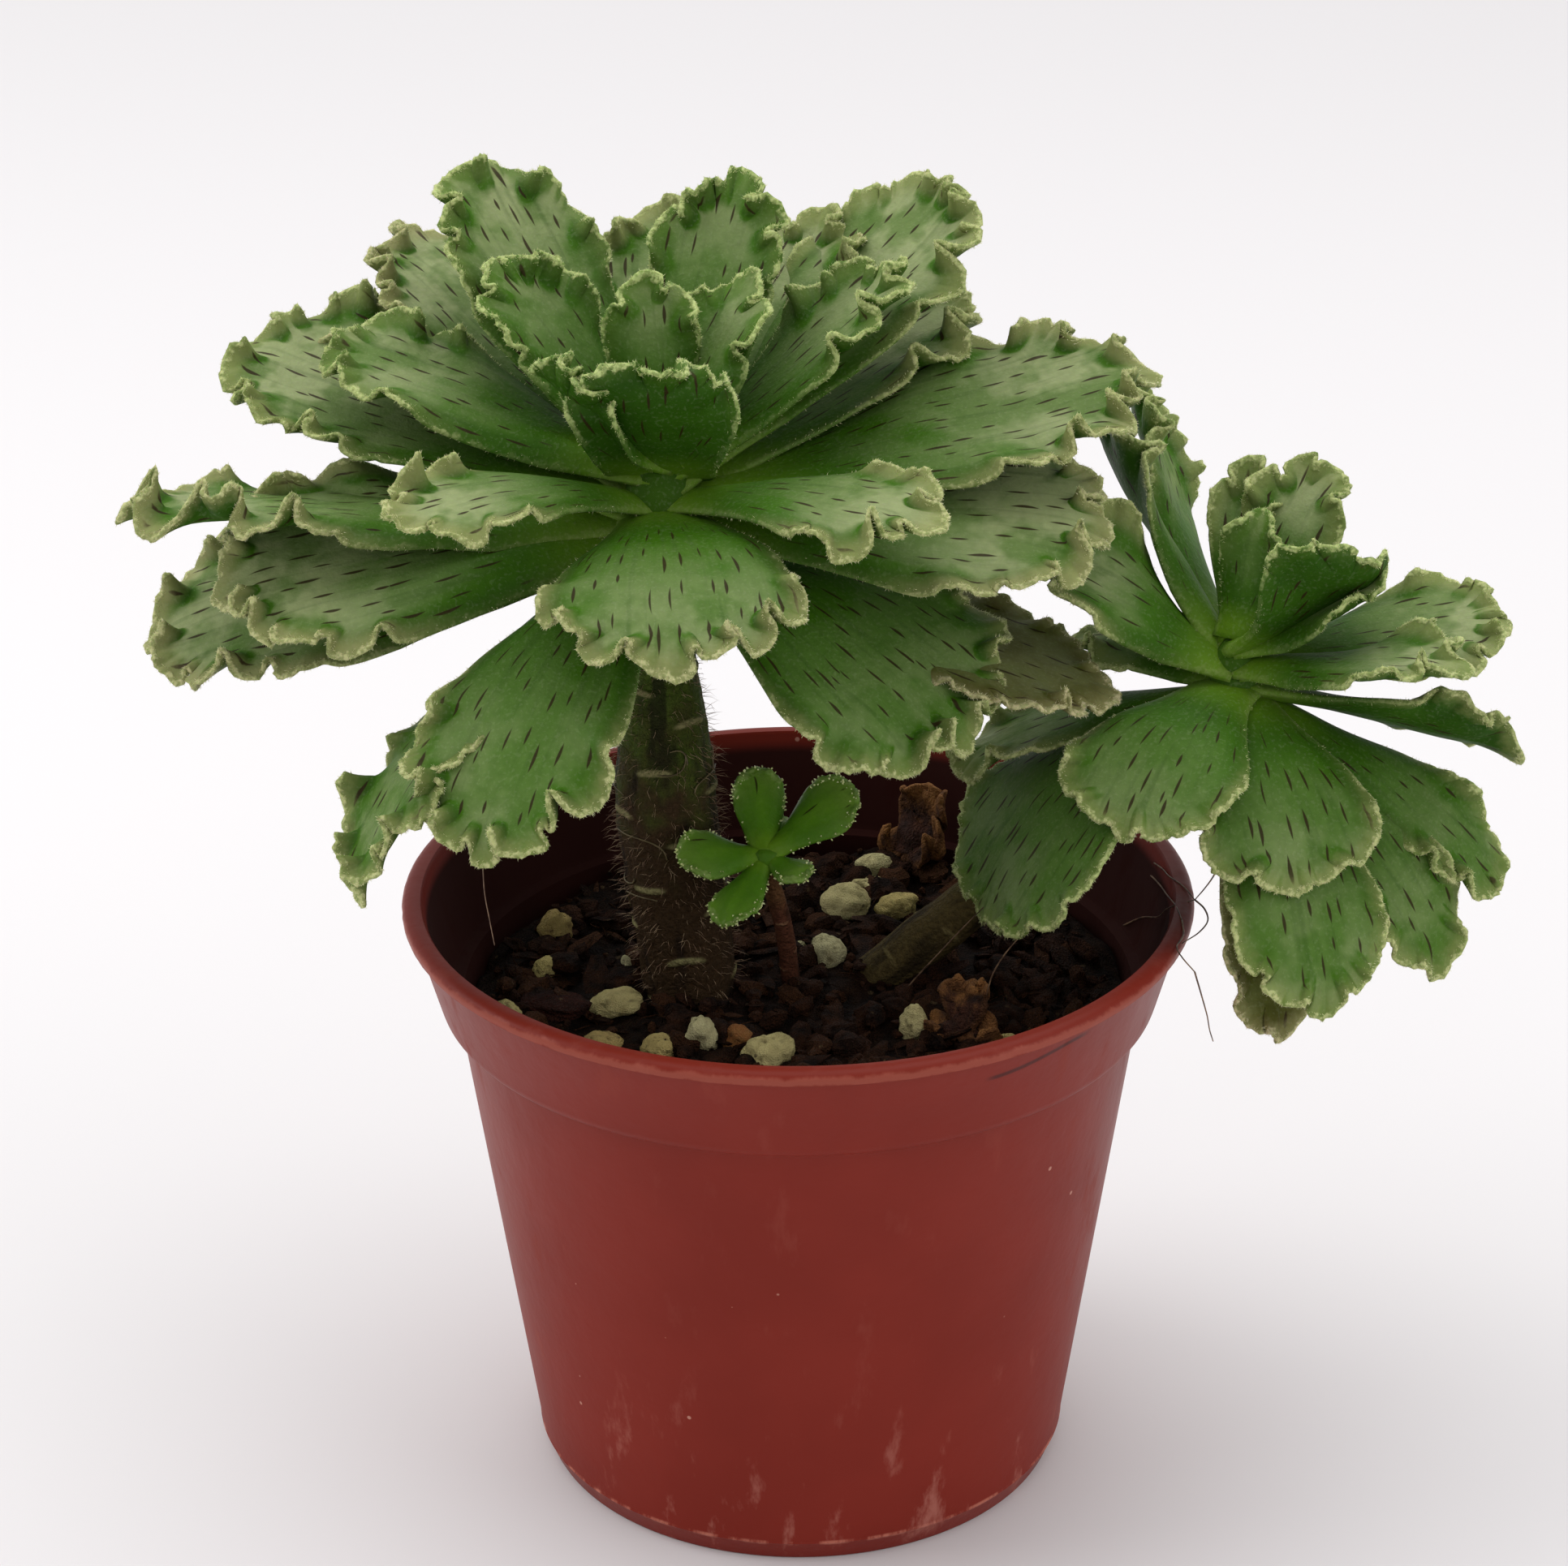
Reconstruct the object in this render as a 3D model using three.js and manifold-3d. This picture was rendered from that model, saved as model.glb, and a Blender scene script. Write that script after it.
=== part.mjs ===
// Potted aeonium: a rooted rosette plant with one leaning side branch and one young shoot, growing in
// a filled plastic nursery pot. Millimetres, +Z up; the origin is the centre of the pot's base, and the
// plant is seen from the front along +Y, with +X to the right.
import * as THREE from "three";
import { mergeVertices } from "three/addons/utils/BufferGeometryUtils.js";
import Module from "manifold-3d";

const wasm = await Module();
wasm.setup();

// Driving dimensions of the pot
const RIM_RADIUS = 42.5;
const POT_HEIGHT = 67;
const POT_WALL = 1;
const BASE_RADIUS = 29.35;
const SHOULDER_RADIUS = 36.9;
const SHOULDER_HEIGHT = 54.6;
const BAND_FOOT_RADIUS = 38.8;
const BAND_FOOT_HEIGHT = 55.8;
const BAND_TOP_RADIUS = 41.5;
const LIP_THICKNESS = 1;
const LIP_INNER_RADIUS = 40.3;
const BASE_CHAMFER = 0.9;
const BASE_CHAMFER_HEIGHT = 2.5;
const FLOOR_THICKNESS = 1.8;
const DRAIN_HOLES = 8;
const DRAIN_HOLE_RADIUS = 2.6;
const DRAIN_CIRCLE_RADIUS = 20.5;
const POT_SIDES = 44;
const SOIL_SIDES = 24;
const GRAIN_SEAT = 0.55;
const HEART_SIDES = 12;

// Driving dimensions of the filling and of what stands in it
const SOIL_HEIGHT = 54.6;
const SOIL_RELIEF = 0.9;
const GAP = 0.3;
const MAIN_STEM_FOOT = new THREE.Vector3(-11.8, 1.3, SOIL_HEIGHT);
const MAIN_HEART = new THREE.Vector3(-14, 3, 110);
const SIDE_STEM_FOOT = new THREE.Vector3(9, 3.3, SOIL_HEIGHT);
const SIDE_HEART = new THREE.Vector3(46.3, 3, 91);
const SHOOT_FOOT = new THREE.Vector3(-0.7, 0.4, SOIL_HEIGHT);
const SHOOT_HEART = new THREE.Vector3(-3.3, -5.5, 73.4);
const MAIN_STEM_MIDDLE = new THREE.Vector3(-14, 2.1, 76);
const SIDE_STEM_MIDDLE = new THREE.Vector3(26.5, 3.2, 69.6);
const SHOOT_MIDDLE = new THREE.Vector3(-1.6, -2.6, 63.5);
const MAIN_STEM_DEPTH = 16;
const SIDE_STEM_DEPTH = 8;
const SHOOT_DEPTH = 6;

// Stem radii at even steps from the buried end to the rosette
const MAIN_STEM_RADII = [3.6, 4.8, 5.1, 5.1, 5.2, 5.35, 5.5, 5.4, 4.6, 3.7, 3.5, 3.5];
const SIDE_STEM_RADII = [1.8, 2.7, 2.9, 2.7, 2.5, 2.3, 2.2, 2.1, 1.9];
const SHOOT_RADII = [0.8, 1.1, 1.05, 1, 1, 1];

// Driving dimensions of a leaf: where along it the blade is widest, how narrow its stalk is against the
// widest place, where the waves of the margin begin, and its thickness at the midrib and at the margin
const WIDEST_AT = 0.73;
const STALK_SHARE = 0.3;
const SIDE_SHARE = 0.63;
const WAVES_FROM = 0.42;
const MIDRIB_REACH = 0.8;
const MIDRIB_THICKNESS = 1.7;
const MARGIN_THICKNESS = 1;
const SPINE_STEPS = 24;
const RINGS = [0, 0.74, 1];
const WAVE_DEPTH = 5;
const STALK_STATIONS = [0, 0.2];

// Each leaf: azimuth (0 is +X, 90 is away from the viewer) and mean elevation in degrees, the bend of its
// midrib in degrees to each side of that mean, length and width, the turn about its own midrib, how far
// the blade is cupped, the height of its waves, the height of its root, and the half waves on each side.
const MAIN_LEAVES = [
  [181, 2.5, 0, 56, 18, 10, 0.1, 1.9, 108, 7],
  [187, -5, 8, 46, 26, -24, 0.05, 1.6, 107, 7],
  [176, -13, 8, 56, 24, -22, 0.05, 1.6, 106, 7],
  [219.5, -34, 24, 50, 17, 20, 0.1, 1.6, 105, 7],
  [241, -28, 26, 44, 21.5, -4, 0.1, 1.6, 105, 7],
  [274, -8, 24, 31, 26.5, 0, 0, 1.6, 108.5, 7],
  [335.5, -25, 20, 38.5, 30, 17, 0.05, 1.6, 105, 7],
  [355, -18.5, 2, 49, 19, 8, 0.1, 1.2, 105, 6],
  [358, 0, 6, 46, 27, 18, 0.1, 1.8, 108, 7],
  [12, 11, 0, 53, 24, 14, 0.1, 1.8, 110, 7],
  [40, 17.5, 0, 43, 19, 0, 0.15, 1.6, 110, 6],
  [39, 31, -4, 47, 20, 8, 0.15, 1.6, 112, 7],
  [57, 31, -4, 38, 17, 0, 0.15, 1.6, 112, 6],
  [89, 30, -4, 38, 18, 0, 0.15, 1.6, 112, 6],
  [129, 21, 0, 49, 21, 0, 0.15, 1.6, 110, 6],
  [137, 12, 2, 50, 22, 0, 0.15, 1.6, 109, 6],
  [155, 13, 2, 51, 26, -12, 0.12, 1.6, 109, 7],
  [160, 16, 0, 38, 17, -8, 0.2, 1.5, 113, 6],
  [214, 11.5, 14, 32, 14.5, -7, 0.1, 1.5, 109, 6],
  [328, 6, 12, 33, 15, 10, 0.1, 1.5, 110, 6],
  [129, 39, -6, 41, 18, 0, 0.2, 1.5, 113, 6],
  [65, 54, -6, 32, 15, 0, 0.2, 1.5, 114, 5],
  [141, 40, -6, 28, 14, 0, 0.25, 1.4, 114, 5],
  [22, 34, -8, 33, 15, 0, 0.3, 1.6, 113, 6],
  [38, 54, -6, 20, 12, 0, 0.25, 1.3, 115, 4],
  [100, 68, -4, 17, 10, 0, 0.3, 1, 116, 4],
  [268, 56, -12, 18, 17.5, 0, 0.2, 1.4, 113, 5],
  [212, 46, -8, 18, 11, 0, 0.25, 1.3, 114, 4],
  [112, -5, 10, 44, 23, 0, 0.1, 1.6, 107, 4],
  [70, -7, 10, 44, 23, 0, 0.1, 1.6, 107, 4],
  [92, -24, 16, 40, 22, 0, 0.1, 1.6, 105, 4],
];
const SIDE_LEAVES = [
  [106, 31, -6, 40, 14, 60, 0.3, 1.4, 91, 5],
  [122, 37, -4, 33, 13, 60, 0.3, 1.4, 91, 5],
  [170, 30, 0, 25, 17, -20, 0.4, 1.5, 91, 5],
  [150, 6, 8, 18, 11, 0, 0.15, 1.2, 89, 3],
  [174, -18, 12, 31, 12, 0, 0.1, 1, 88, 4],
  [200, -38, 30, 37, 28, 0, 0.05, 0.9, 88, 5],
  [236, -20, 22, 24.5, 20, -4, 0.05, 0.9, 89, 5],
  [287, -35, 24, 24.5, 20, 0, 0.05, 1, 88, 5],
  [290, -48, 18, 36, 17, 0, 0.05, 1, 88.5, 5],
  [280, -55, 14, 37, 10, 0, 0.1, 1, 88, 4],
  [340, -50, 16, 28, 12, 0, 0.1, 1, 88, 4],
  [330, -46, 16, 37, 12, 30, 0.1, 1.2, 88, 5],
  [350, -36, 16, 36, 12, 25, 0.15, 1.2, 88, 5],
  [352, -12, 6, 30, 12, -40, 0.2, 1.2, 89, 5],
  [4, 9, 0, 29, 17, 13, 0.1, 1.3, 91, 5],
  [332, 12, 0, 25, 14, 0, 0.3, 1.2, 91, 5],
  [335, 42, -8, 19, 17, -40, 0.2, 1.3, 93, 5],
  [350, 32, -6, 17, 11, 0, 0.2, 1.2, 93, 4],
  [52, 48, -6, 22, 12, 0, 0.15, 1.3, 93, 4],
  [80, 44, -4, 21, 8, 0, 0.15, 1.3, 93, 4],
  [60, 68, -4, 13, 7, 0, 0.3, 0.8, 94, 3],
  [40, -4, 8, 26, 14, 0, 0.1, 1.2, 89, 4],
  [82, -10, 10, 26, 14, 0, 0.1, 1.2, 89, 4],
];
const SHOOT_LEAVES = [
  [101, 50, -4, 9.2, 5.4, 0, 0.1, 0.3, 73.4, 3],
  [19, 30, 0, 11.4, 6.8, 28, 0.1, 0.3, 73.4, 3],
  [190, 4, 14, 9.2, 5.8, -35, 0.1, 0.3, 73.1, 3],
  [235, -30, 10, 9, 5.4, 0, 0.1, 0.3, 72.8, 3],
  [320, -8, 10, 5.5, 4, 10, 0.1, 0.3, 73.1, 2],
  [70, 6, 0, 7, 4, 0, 0.1, 0.3, 73, 2],
];

// Each pumice grain on the soil: place, then half its length, width and height, and its turn in degrees.
const PUMICE = [
  [-27, 12.5, 1.9, 1.6, 2.1, 20],
  [-27.7, 4.5, 1.8, 1.3, 1.1, 50],
  [-19.6, -4.4, 2.7, 2, 1.8, 15],
  [-31.4, -6.6, 2.2, 1.6, 1.2, 120],
  [-20.9, -12.9, 2, 1.6, 1.1, 170],
  [-14.6, -14.8, 1.8, 1.6, 1.5, 30],
  [-10.4, -13.8, 1.9, 1.7, 2.1, 80],
  [-6.3, -13.6, 1.6, 1.5, 1.4, 0],
  [-3.4, -17.3, 2.9, 2.1, 2.2, 40],
  [8.7, 28, 1.9, 1.6, 1.7, 10],
  [8.4, 23.2, 2.6, 1.5, 1.3, 0],
  [5.6, 17.2, 2.9, 2.3, 2.2, 150],
  [11.2, 17.4, 2.2, 1.7, 1.5, 20],
  [3.1, 6.2, 2.1, 1.8, 1.9, 110],
  [12.2, -11.4, 1.8, 1.6, 2.1, 60],
  [22, -14.6, 1.7, 1.3, 1.1, 20],
];
const PUMICE_ROUGHNESS = 0.16;

// Dry litter on the soil: a flat bark chip, and two dead leaves, curled up and lying on their sides,
// in the columns of the leaf rows with the place of the root ahead of them.
const BARK_CHIP = { x: -26, y: -4.8, length: 8.6, width: 5.4, height: 1.6, turn: -22 };
const DEAD_LEAVES = [
  ["dead_leaf_back", 12.4, 29.6, [38, 48, 10, 9, 8.5, 10, 0.5, 0.7, 56.2, 4]],
  ["dead_leaf_front", 17, -14.4, [64, 36, 16, 6.5, 6.5, -10, 0.7, 0.6, 56.2, 3]],
];

// Colours
const TERRACOTTA_PLASTIC = 0x8a4033;
const POTTING_SOIL = 0x2a211b;
const STEM_BROWN = 0x6f6247;
const SHOOT_BROWN = 0x7a4a38;
const LEAF_GREEN = 0x7d9a5c;
const SHADE_GREEN = 0x6f9250;
const YOUNG_GREEN = 0x5f9440;
const PUMICE_CREAM = 0xc9c3a0;
const BARK_BROWN = 0x3a2a22;
const DRY_LEAF_BROWN = 0x6e4a33;

const plant = new THREE.Group();

function radians(degrees) {
  return THREE.MathUtils.degToRad(degrees);
}

// A repeatable number from 0 to 1 for a pair of whole numbers.
function scatter(a, b) {
  const v = Math.sin(a * 12.9898 + b * 78.233) * 43758.5453;
  return v - Math.floor(v);
}

function solidOf(geometry) {
  const bare = geometry.index ? geometry.toNonIndexed() : geometry;
  bare.deleteAttribute("normal");
  bare.deleteAttribute("uv");
  const merged = mergeVertices(bare, 1e-4);
  return new wasm.Manifold(
    new wasm.Mesh({
      numProp: 3,
      vertProperties: new Float32Array(merged.attributes.position.array),
      triVerts: new Uint32Array(merged.index.array),
    }),
  );
}

function geometryOf(solid) {
  const mesh = solid.getMesh();
  const geometry = new THREE.BufferGeometry();
  geometry.setAttribute("position", new THREE.BufferAttribute(new Float32Array(mesh.vertProperties), 3));
  geometry.setIndex(new THREE.BufferAttribute(new Uint32Array(mesh.triVerts), 1));
  return geometry;
}

function addPart(name, solid, color, roughness) {
  const material = new THREE.MeshStandardMaterial({ color, roughness, metalness: 0 });
  const geometry = geometryOf(solid);
  geometry.computeVertexNormals();
  const mesh = new THREE.Mesh(geometry, material);
  mesh.name = name;
  plant.add(mesh);
}

// A solid of revolution about +Z from a profile of [radius, height] pairs that starts and ends on the axis.
function turned(profile, sides) {
  const points = profile.map(([radius, height]) => new THREE.Vector2(radius, height));
  const geometry = new THREE.LatheGeometry(points, sides);
  geometry.rotateX(Math.PI / 2);
  return solidOf(geometry);
}

// A round rod whose radius changes along a smooth path: each ring is square to the path.
function rodGeometry(path, radii, sides) {
  const rings = radii.length;
  const curve = new THREE.CatmullRomCurve3(path);
  const frames = curve.computeFrenetFrames(rings - 1, false);
  const position = [];
  const ring = (k, j) => {
    const u = k / (rings - 1);
    const angle = (2 * Math.PI * j) / sides;
    return curve
      .getPointAt(u)
      .addScaledVector(frames.normals[k], radii[k] * Math.cos(angle))
      .addScaledVector(frames.binormals[k], radii[k] * Math.sin(angle));
  };
  const triangle = (...corners) => corners.forEach((c) => position.push(c.x, c.y, c.z));
  for (let j = 0; j < sides; j += 1) {
    const next = (j + 1) % sides;
    for (let k = 0; k + 1 < rings; k += 1) {
      triangle(ring(k, j), ring(k, next), ring(k + 1, next));
      triangle(ring(k, j), ring(k + 1, next), ring(k + 1, j));
    }
    triangle(curve.getPointAt(0), ring(0, next), ring(0, j));
    triangle(curve.getPointAt(1), ring(rings - 1, j), ring(rings - 1, next));
  }
  const geometry = new THREE.BufferGeometry();
  geometry.setAttribute("position", new THREE.Float32BufferAttribute(position, 3));
  return geometry;
}

// Half of the leaf's outline, from the middle of its root at s = 0 to its tip at s = 1: a stalk that
// widens smoothly into the blade, then a quarter of a rounded end.
function outlineAt(s) {
  if (s <= SIDE_SHARE) {
    const u = s / SIDE_SHARE;
    const widening = (u * u * (3 - 2 * u)) ** 1.15;
    return [WIDEST_AT * u, STALK_SHARE + (1 - STALK_SHARE) * widening];
  }
  const angle = ((1 - s) / (1 - SIDE_SHARE)) * (Math.PI / 2);
  return [WIDEST_AT + (1 - WIDEST_AT) * Math.cos(angle), Math.max(Math.sin(angle), 0) ** 0.85];
}

// The midrib bends evenly from one elevation to another, and the blade turns about it along the stalk.
function leafFrames(leaf) {
  const [azimuth, elevation, bend, length, , turn] = leaf;
  const heading = radians(azimuth);
  const spine = [new THREE.Vector3()];
  for (let k = 0; k < SPINE_STEPS; k += 1) {
    const slope = radians(elevation + bend * (1 - (2 * k + 1) / SPINE_STEPS));
    const step = new THREE.Vector3(
      Math.cos(slope) * Math.cos(heading),
      Math.cos(slope) * Math.sin(heading),
      Math.sin(slope),
    );
    spine.push(spine[k].clone().addScaledVector(step, length / SPINE_STEPS));
  }
  return (x) => {
    const place = Math.min(x, 1) * SPINE_STEPS;
    const k = Math.min(Math.floor(place), SPINE_STEPS - 1);
    const point = spine[k].clone().lerp(spine[k + 1], place - k);
    const slope = radians(elevation + bend * (1 - 2 * x));
    const along = new THREE.Vector3(
      Math.cos(slope) * Math.cos(heading),
      Math.cos(slope) * Math.sin(heading),
      Math.sin(slope),
    );
    const flat = new THREE.Vector3(-Math.sin(heading), Math.cos(heading), 0);
    const twist = radians(turn) * (0.35 + 0.65 * Math.min(1.6 * x, 1));
    const across = flat.applyAxisAngle(along, twist);
    return { point, across, normal: along.clone().cross(across) };
  };
}

// The height of the margin's waves: a crest or a trough at each station, of uneven height.
function waveAt(station, side, halfWaves, seed, height) {
  if (station <= 0) {
    return 0;
  }
  const k = side > 0 ? station : 2 * halfWaves - station;
  const ramp = Math.min(((station / halfWaves) * (1 - WAVES_FROM)) / 0.25, 1);
  return (k % 2 === 0 ? 1 : -1) * (0.5 + 0.9 * scatter(k, seed)) * ramp * height;
}

// One closed leaf: two faces split into triangles alike, a rim, and a flat root inside the plant's heart.
function leafSolid(leaf, seed, root) {
  const [, , , length, width, , cup, height, , halfWaves] = leaf;
  const frameAt = leafFrames(leaf);
  const stations = [...STALK_STATIONS];
  for (let k = 0; k <= halfWaves; k += 1) {
    stations.push(WAVES_FROM + ((1 - WAVES_FROM) * k) / halfWaves);
  }
  const vertex = (i, side, j, face) => {
    const r = RINGS[j];
    const [mx, my] = outlineAt(stations[i]);
    const wave = waveAt(i - STALK_STATIONS.length, side, halfWaves, seed, height);
    const x = mx * (MIDRIB_REACH + (1 - MIDRIB_REACH) * r);
    const y = side * my * (width / 2) * r;
    const frame = frameAt(x);
    const lift = wave * r ** WAVE_DEPTH + (cup * y * y * Math.min(1.5 * x, 1)) / (width / 2);
    const pull = -side * Math.abs(wave) * 0.25 * r ** WAVE_DEPTH;
    const thickness = MIDRIB_THICKNESS + (MARGIN_THICKNESS - MIDRIB_THICKNESS) * r;
    return frame.point
      .addScaledVector(frame.across, i === stations.length - 1 ? 0 : y + pull)
      .addScaledVector(frame.normal, lift + (face * thickness) / 2)
      .add(root);
  };
  const position = [];
  const triangle = (a, b, c) => {
    for (const v of [a, b, c]) {
      position.push(v.x, v.y, v.z);
    }
  };
  const quad = (a, b, c, d, flip) => {
    if (flip) {
      triangle(a, c, b);
      triangle(a, d, c);
    } else {
      triangle(a, b, c);
      triangle(a, c, d);
    }
  };
  const last = stations.length - 1;
  const rim = RINGS.length - 1;
  for (const side of [1, -1]) {
    for (const face of [1, -1]) {
      for (let i = 0; i < last; i += 1) {
        for (let j = 0; j < rim; j += 1) {
          quad(
            vertex(i, side, j, face),
            vertex(i + 1, side, j, face),
            vertex(i + 1, side, j + 1, face),
            vertex(i, side, j + 1, face),
            side * face < 0,
          );
        }
      }
    }
    for (let i = 0; i < last; i += 1) {
      quad(
        vertex(i, side, rim, 1),
        vertex(i + 1, side, rim, 1),
        vertex(i + 1, side, rim, -1),
        vertex(i, side, rim, -1),
        side < 0,
      );
    }
    for (let j = 0; j < rim; j += 1) {
      quad(
        vertex(0, side, j, 1),
        vertex(0, side, j + 1, 1),
        vertex(0, side, j + 1, -1),
        vertex(0, side, j, -1),
        side < 0,
      );
    }
  }
  const geometry = new THREE.BufferGeometry();
  geometry.setAttribute("position", new THREE.Float32BufferAttribute(position, 3));
  return solidOf(geometry);
}

// A rosette: a rounded heart with a flat foot on its stem, and every leaf fused into it.
function rosetteSolid(heart, heartProfile, leaves) {
  let solid = turned(heartProfile, HEART_SIDES).translate([heart.x, heart.y, heart.z]);
  leaves.forEach((leaf, index) => {
    const root = new THREE.Vector3(heart.x, heart.y, leaf[8]);
    solid = solid.add(leafSolid(leaf, index + 1, root));
  });
  return solid;
}

// The height of the soil: low knolls everywhere, a little higher towards the right.
function soilHeight(x, y) {
  const knolls = Math.sin(0.31 * x + 1.3) * Math.cos(0.27 * y - 0.4) + 0.6 * Math.sin(0.52 * x - 0.47 * y);
  return SOIL_HEIGHT + SOIL_RELIEF * 0.5 * knolls + 0.012 * x;
}

function innerWallRadius(z) {
  const share = (z - BASE_CHAMFER_HEIGHT) / (SHOULDER_HEIGHT - BASE_CHAMFER_HEIGHT);
  return BASE_RADIUS - POT_WALL + (SHOULDER_RADIUS - BASE_RADIUS) * share;
}

function makePot() {
  const lipFall = 0.5;
  const profile = [
    [0, 0],
    [BASE_RADIUS - BASE_CHAMFER, 0],
    [BASE_RADIUS, BASE_CHAMFER_HEIGHT],
    [SHOULDER_RADIUS, SHOULDER_HEIGHT],
    [BAND_FOOT_RADIUS, BAND_FOOT_HEIGHT],
    [BAND_TOP_RADIUS, POT_HEIGHT - LIP_THICKNESS - lipFall],
    [RIM_RADIUS - 0.2, POT_HEIGHT - LIP_THICKNESS - lipFall],
    [RIM_RADIUS, POT_HEIGHT - LIP_THICKNESS],
    [RIM_RADIUS - 0.2, POT_HEIGHT - lipFall],
    [RIM_RADIUS - 1, POT_HEIGHT],
    [LIP_INNER_RADIUS, POT_HEIGHT],
    [BAND_FOOT_RADIUS - POT_WALL, BAND_FOOT_HEIGHT + 0.9],
    [innerWallRadius(SHOULDER_HEIGHT) + 0.3, BAND_FOOT_HEIGHT],
    [innerWallRadius(SHOULDER_HEIGHT), SHOULDER_HEIGHT],
    [innerWallRadius(FLOOR_THICKNESS), FLOOR_THICKNESS],
    [0, FLOOR_THICKNESS],
  ];
  let pot = turned(profile, POT_SIDES);
  for (let k = 0; k < DRAIN_HOLES; k += 1) {
    const angle = (2 * Math.PI * k) / DRAIN_HOLES;
    const drill = new THREE.CylinderGeometry(DRAIN_HOLE_RADIUS, DRAIN_HOLE_RADIUS, 3 * FLOOR_THICKNESS, 10);
    drill.rotateX(Math.PI / 2);
    drill.translate(DRAIN_CIRCLE_RADIUS * Math.cos(angle), DRAIN_CIRCLE_RADIUS * Math.sin(angle), 0);
    pot = pot.subtract(solidOf(drill));
  }
  return pot;
}

// The filling: a solid of revolution whose top rows follow the soil's height.
function makeSoil() {
  const foot = FLOOR_THICKNESS + GAP;
  const shares = [0, 0.2, 0.4, 0.6, 0.78, 0.92, 1];
  const wall = innerWallRadius(SOIL_HEIGHT - 1.4) - GAP;
  const profile = shares.map((share) => new THREE.Vector2(wall * share, SOIL_HEIGHT));
  profile.push(new THREE.Vector2(innerWallRadius(foot) - GAP, foot), new THREE.Vector2(0, foot));
  const geometry = new THREE.LatheGeometry(profile.reverse(), SOIL_SIDES);
  geometry.rotateX(Math.PI / 2);
  const position = geometry.attributes.position;
  for (let i = 0; i < position.count; i += 1) {
    const x = position.getX(i);
    const y = position.getY(i);
    if (position.getZ(i) > foot + 1) {
      position.setZ(i, soilHeight(x, y) - (Math.hypot(x, y) > wall - 1 ? 0.8 : 0));
    }
  }
  return solidOf(geometry);
}

// A rough rounded grain: each corner of a facetted ball is drawn in or out a little.
function grainSolid(seed, grain, grow) {
  const [x, y, halfLength, halfWidth, halfHeight, turn] = grain;
  const geometry = new THREE.DodecahedronGeometry(1, 0);
  const position = geometry.attributes.position;
  for (let i = 0; i < position.count; i += 1) {
    const v = new THREE.Vector3().fromBufferAttribute(position, i);
    const lump = Math.sin(3.1 * v.x + seed) + Math.sin(2.7 * v.y + 1.9 * seed) + Math.sin(3.4 * v.z - seed);
    v.multiplyScalar(1 + (PUMICE_ROUGHNESS * lump) / 3);
    position.setXYZ(i, v.x * (halfLength + grow), v.y * (halfWidth + grow), v.z * (halfHeight + grow));
  }
  geometry.rotateZ(radians(turn));
  geometry.translate(x, y, soilHeight(x, y) + GRAIN_SEAT * halfHeight);
  return solidOf(geometry);
}

function barkSolid(grow) {
  const { x, y, length, width, height, turn } = BARK_CHIP;
  const outline = new THREE.Shape();
  outline.moveTo(-0.5 * length - grow, -0.2 * width);
  outline.lineTo(-0.2 * length, -0.5 * width - grow);
  outline.lineTo(0.35 * length, -0.42 * width - grow);
  outline.lineTo(0.5 * length + grow, 0.1 * width);
  outline.lineTo(0.2 * length, 0.5 * width + grow);
  outline.lineTo(-0.4 * length, 0.34 * width + grow);
  const thick = height + 2 * grow;
  const geometry = new THREE.ExtrudeGeometry(outline, { depth: thick, bevelEnabled: false });
  geometry.translate(0, 0, -thick / 2);
  geometry.rotateY(radians(7));
  geometry.rotateZ(radians(turn));
  geometry.translate(x, y, soilHeight(x, y) + 0.5 * height);
  return solidOf(geometry);
}

// The buried end of a stem: as far below the soil as depth, measured along the stem.
function rootedEnd(foot, head, depth) {
  const along = head.clone().sub(foot).normalize();
  return foot.clone().addScaledVector(along, -depth);
}

// The hearts of the rosettes: profiles of [radius, height above the heart's centre], flat underneath
const mainHeart = [
  [0, -6.7],
  [4.4, -6.7],
  [5, -4],
  [4.2, -1],
  [3.4, 2.5],
  [2, 5],
  [0, 6],
];
const sideHeart = [
  [0, -6],
  [2.8, -6],
  [3.2, -3.6],
  [2.8, -1],
  [2.2, 1.6],
  [1.2, 3],
  [0, 3.4],
];
const shootHeart = [
  [0, -1.6],
  [1.1, -1.6],
  [1.6, -0.6],
  [1.5, 0.5],
  [0, 1.2],
];

// The three stems, each in a plain hole in the soil and flat and level under its rosette
const mainHead = MAIN_HEART.clone().add(new THREE.Vector3(0, -0.2, mainHeart[0][1] - GAP));
const sideHead = SIDE_HEART.clone().add(new THREE.Vector3(-1.6, 0, sideHeart[0][1] - GAP));
const shootHead = SHOOT_HEART.clone().add(new THREE.Vector3(0, 0, shootHeart[0][1] - GAP));

const sideNeck = sideHead.clone().add(new THREE.Vector3(-2.4, 0, -3.6));
const mainStemFoot = rootedEnd(MAIN_STEM_FOOT, mainHead, MAIN_STEM_DEPTH);
const sideStemFoot = rootedEnd(SIDE_STEM_FOOT, sideHead, SIDE_STEM_DEPTH);
const shootFoot = rootedEnd(SHOOT_FOOT, shootHead, SHOOT_DEPTH);

const mainPath = [mainStemFoot, MAIN_STEM_MIDDLE, mainHead];
const sidePath = [sideStemFoot, SIDE_STEM_FOOT, SIDE_STEM_MIDDLE, sideNeck, sideHead];
const shootPath = [shootFoot, SHOOT_MIDDLE, shootHead];

// A stem: its rod, with what stands above its level end cut away.
function stemSolid(path, radii, sides, level, grow) {
  const rod = solidOf(
    rodGeometry(
      path,
      radii.map((radius) => radius + grow),
      sides,
    ),
  );
  const lid = new THREE.BoxGeometry(60, 60, 40);
  lid.translate(path[path.length - 1].x, path[path.length - 1].y, level + 20);
  return rod.subtract(solidOf(lid));
}

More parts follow.
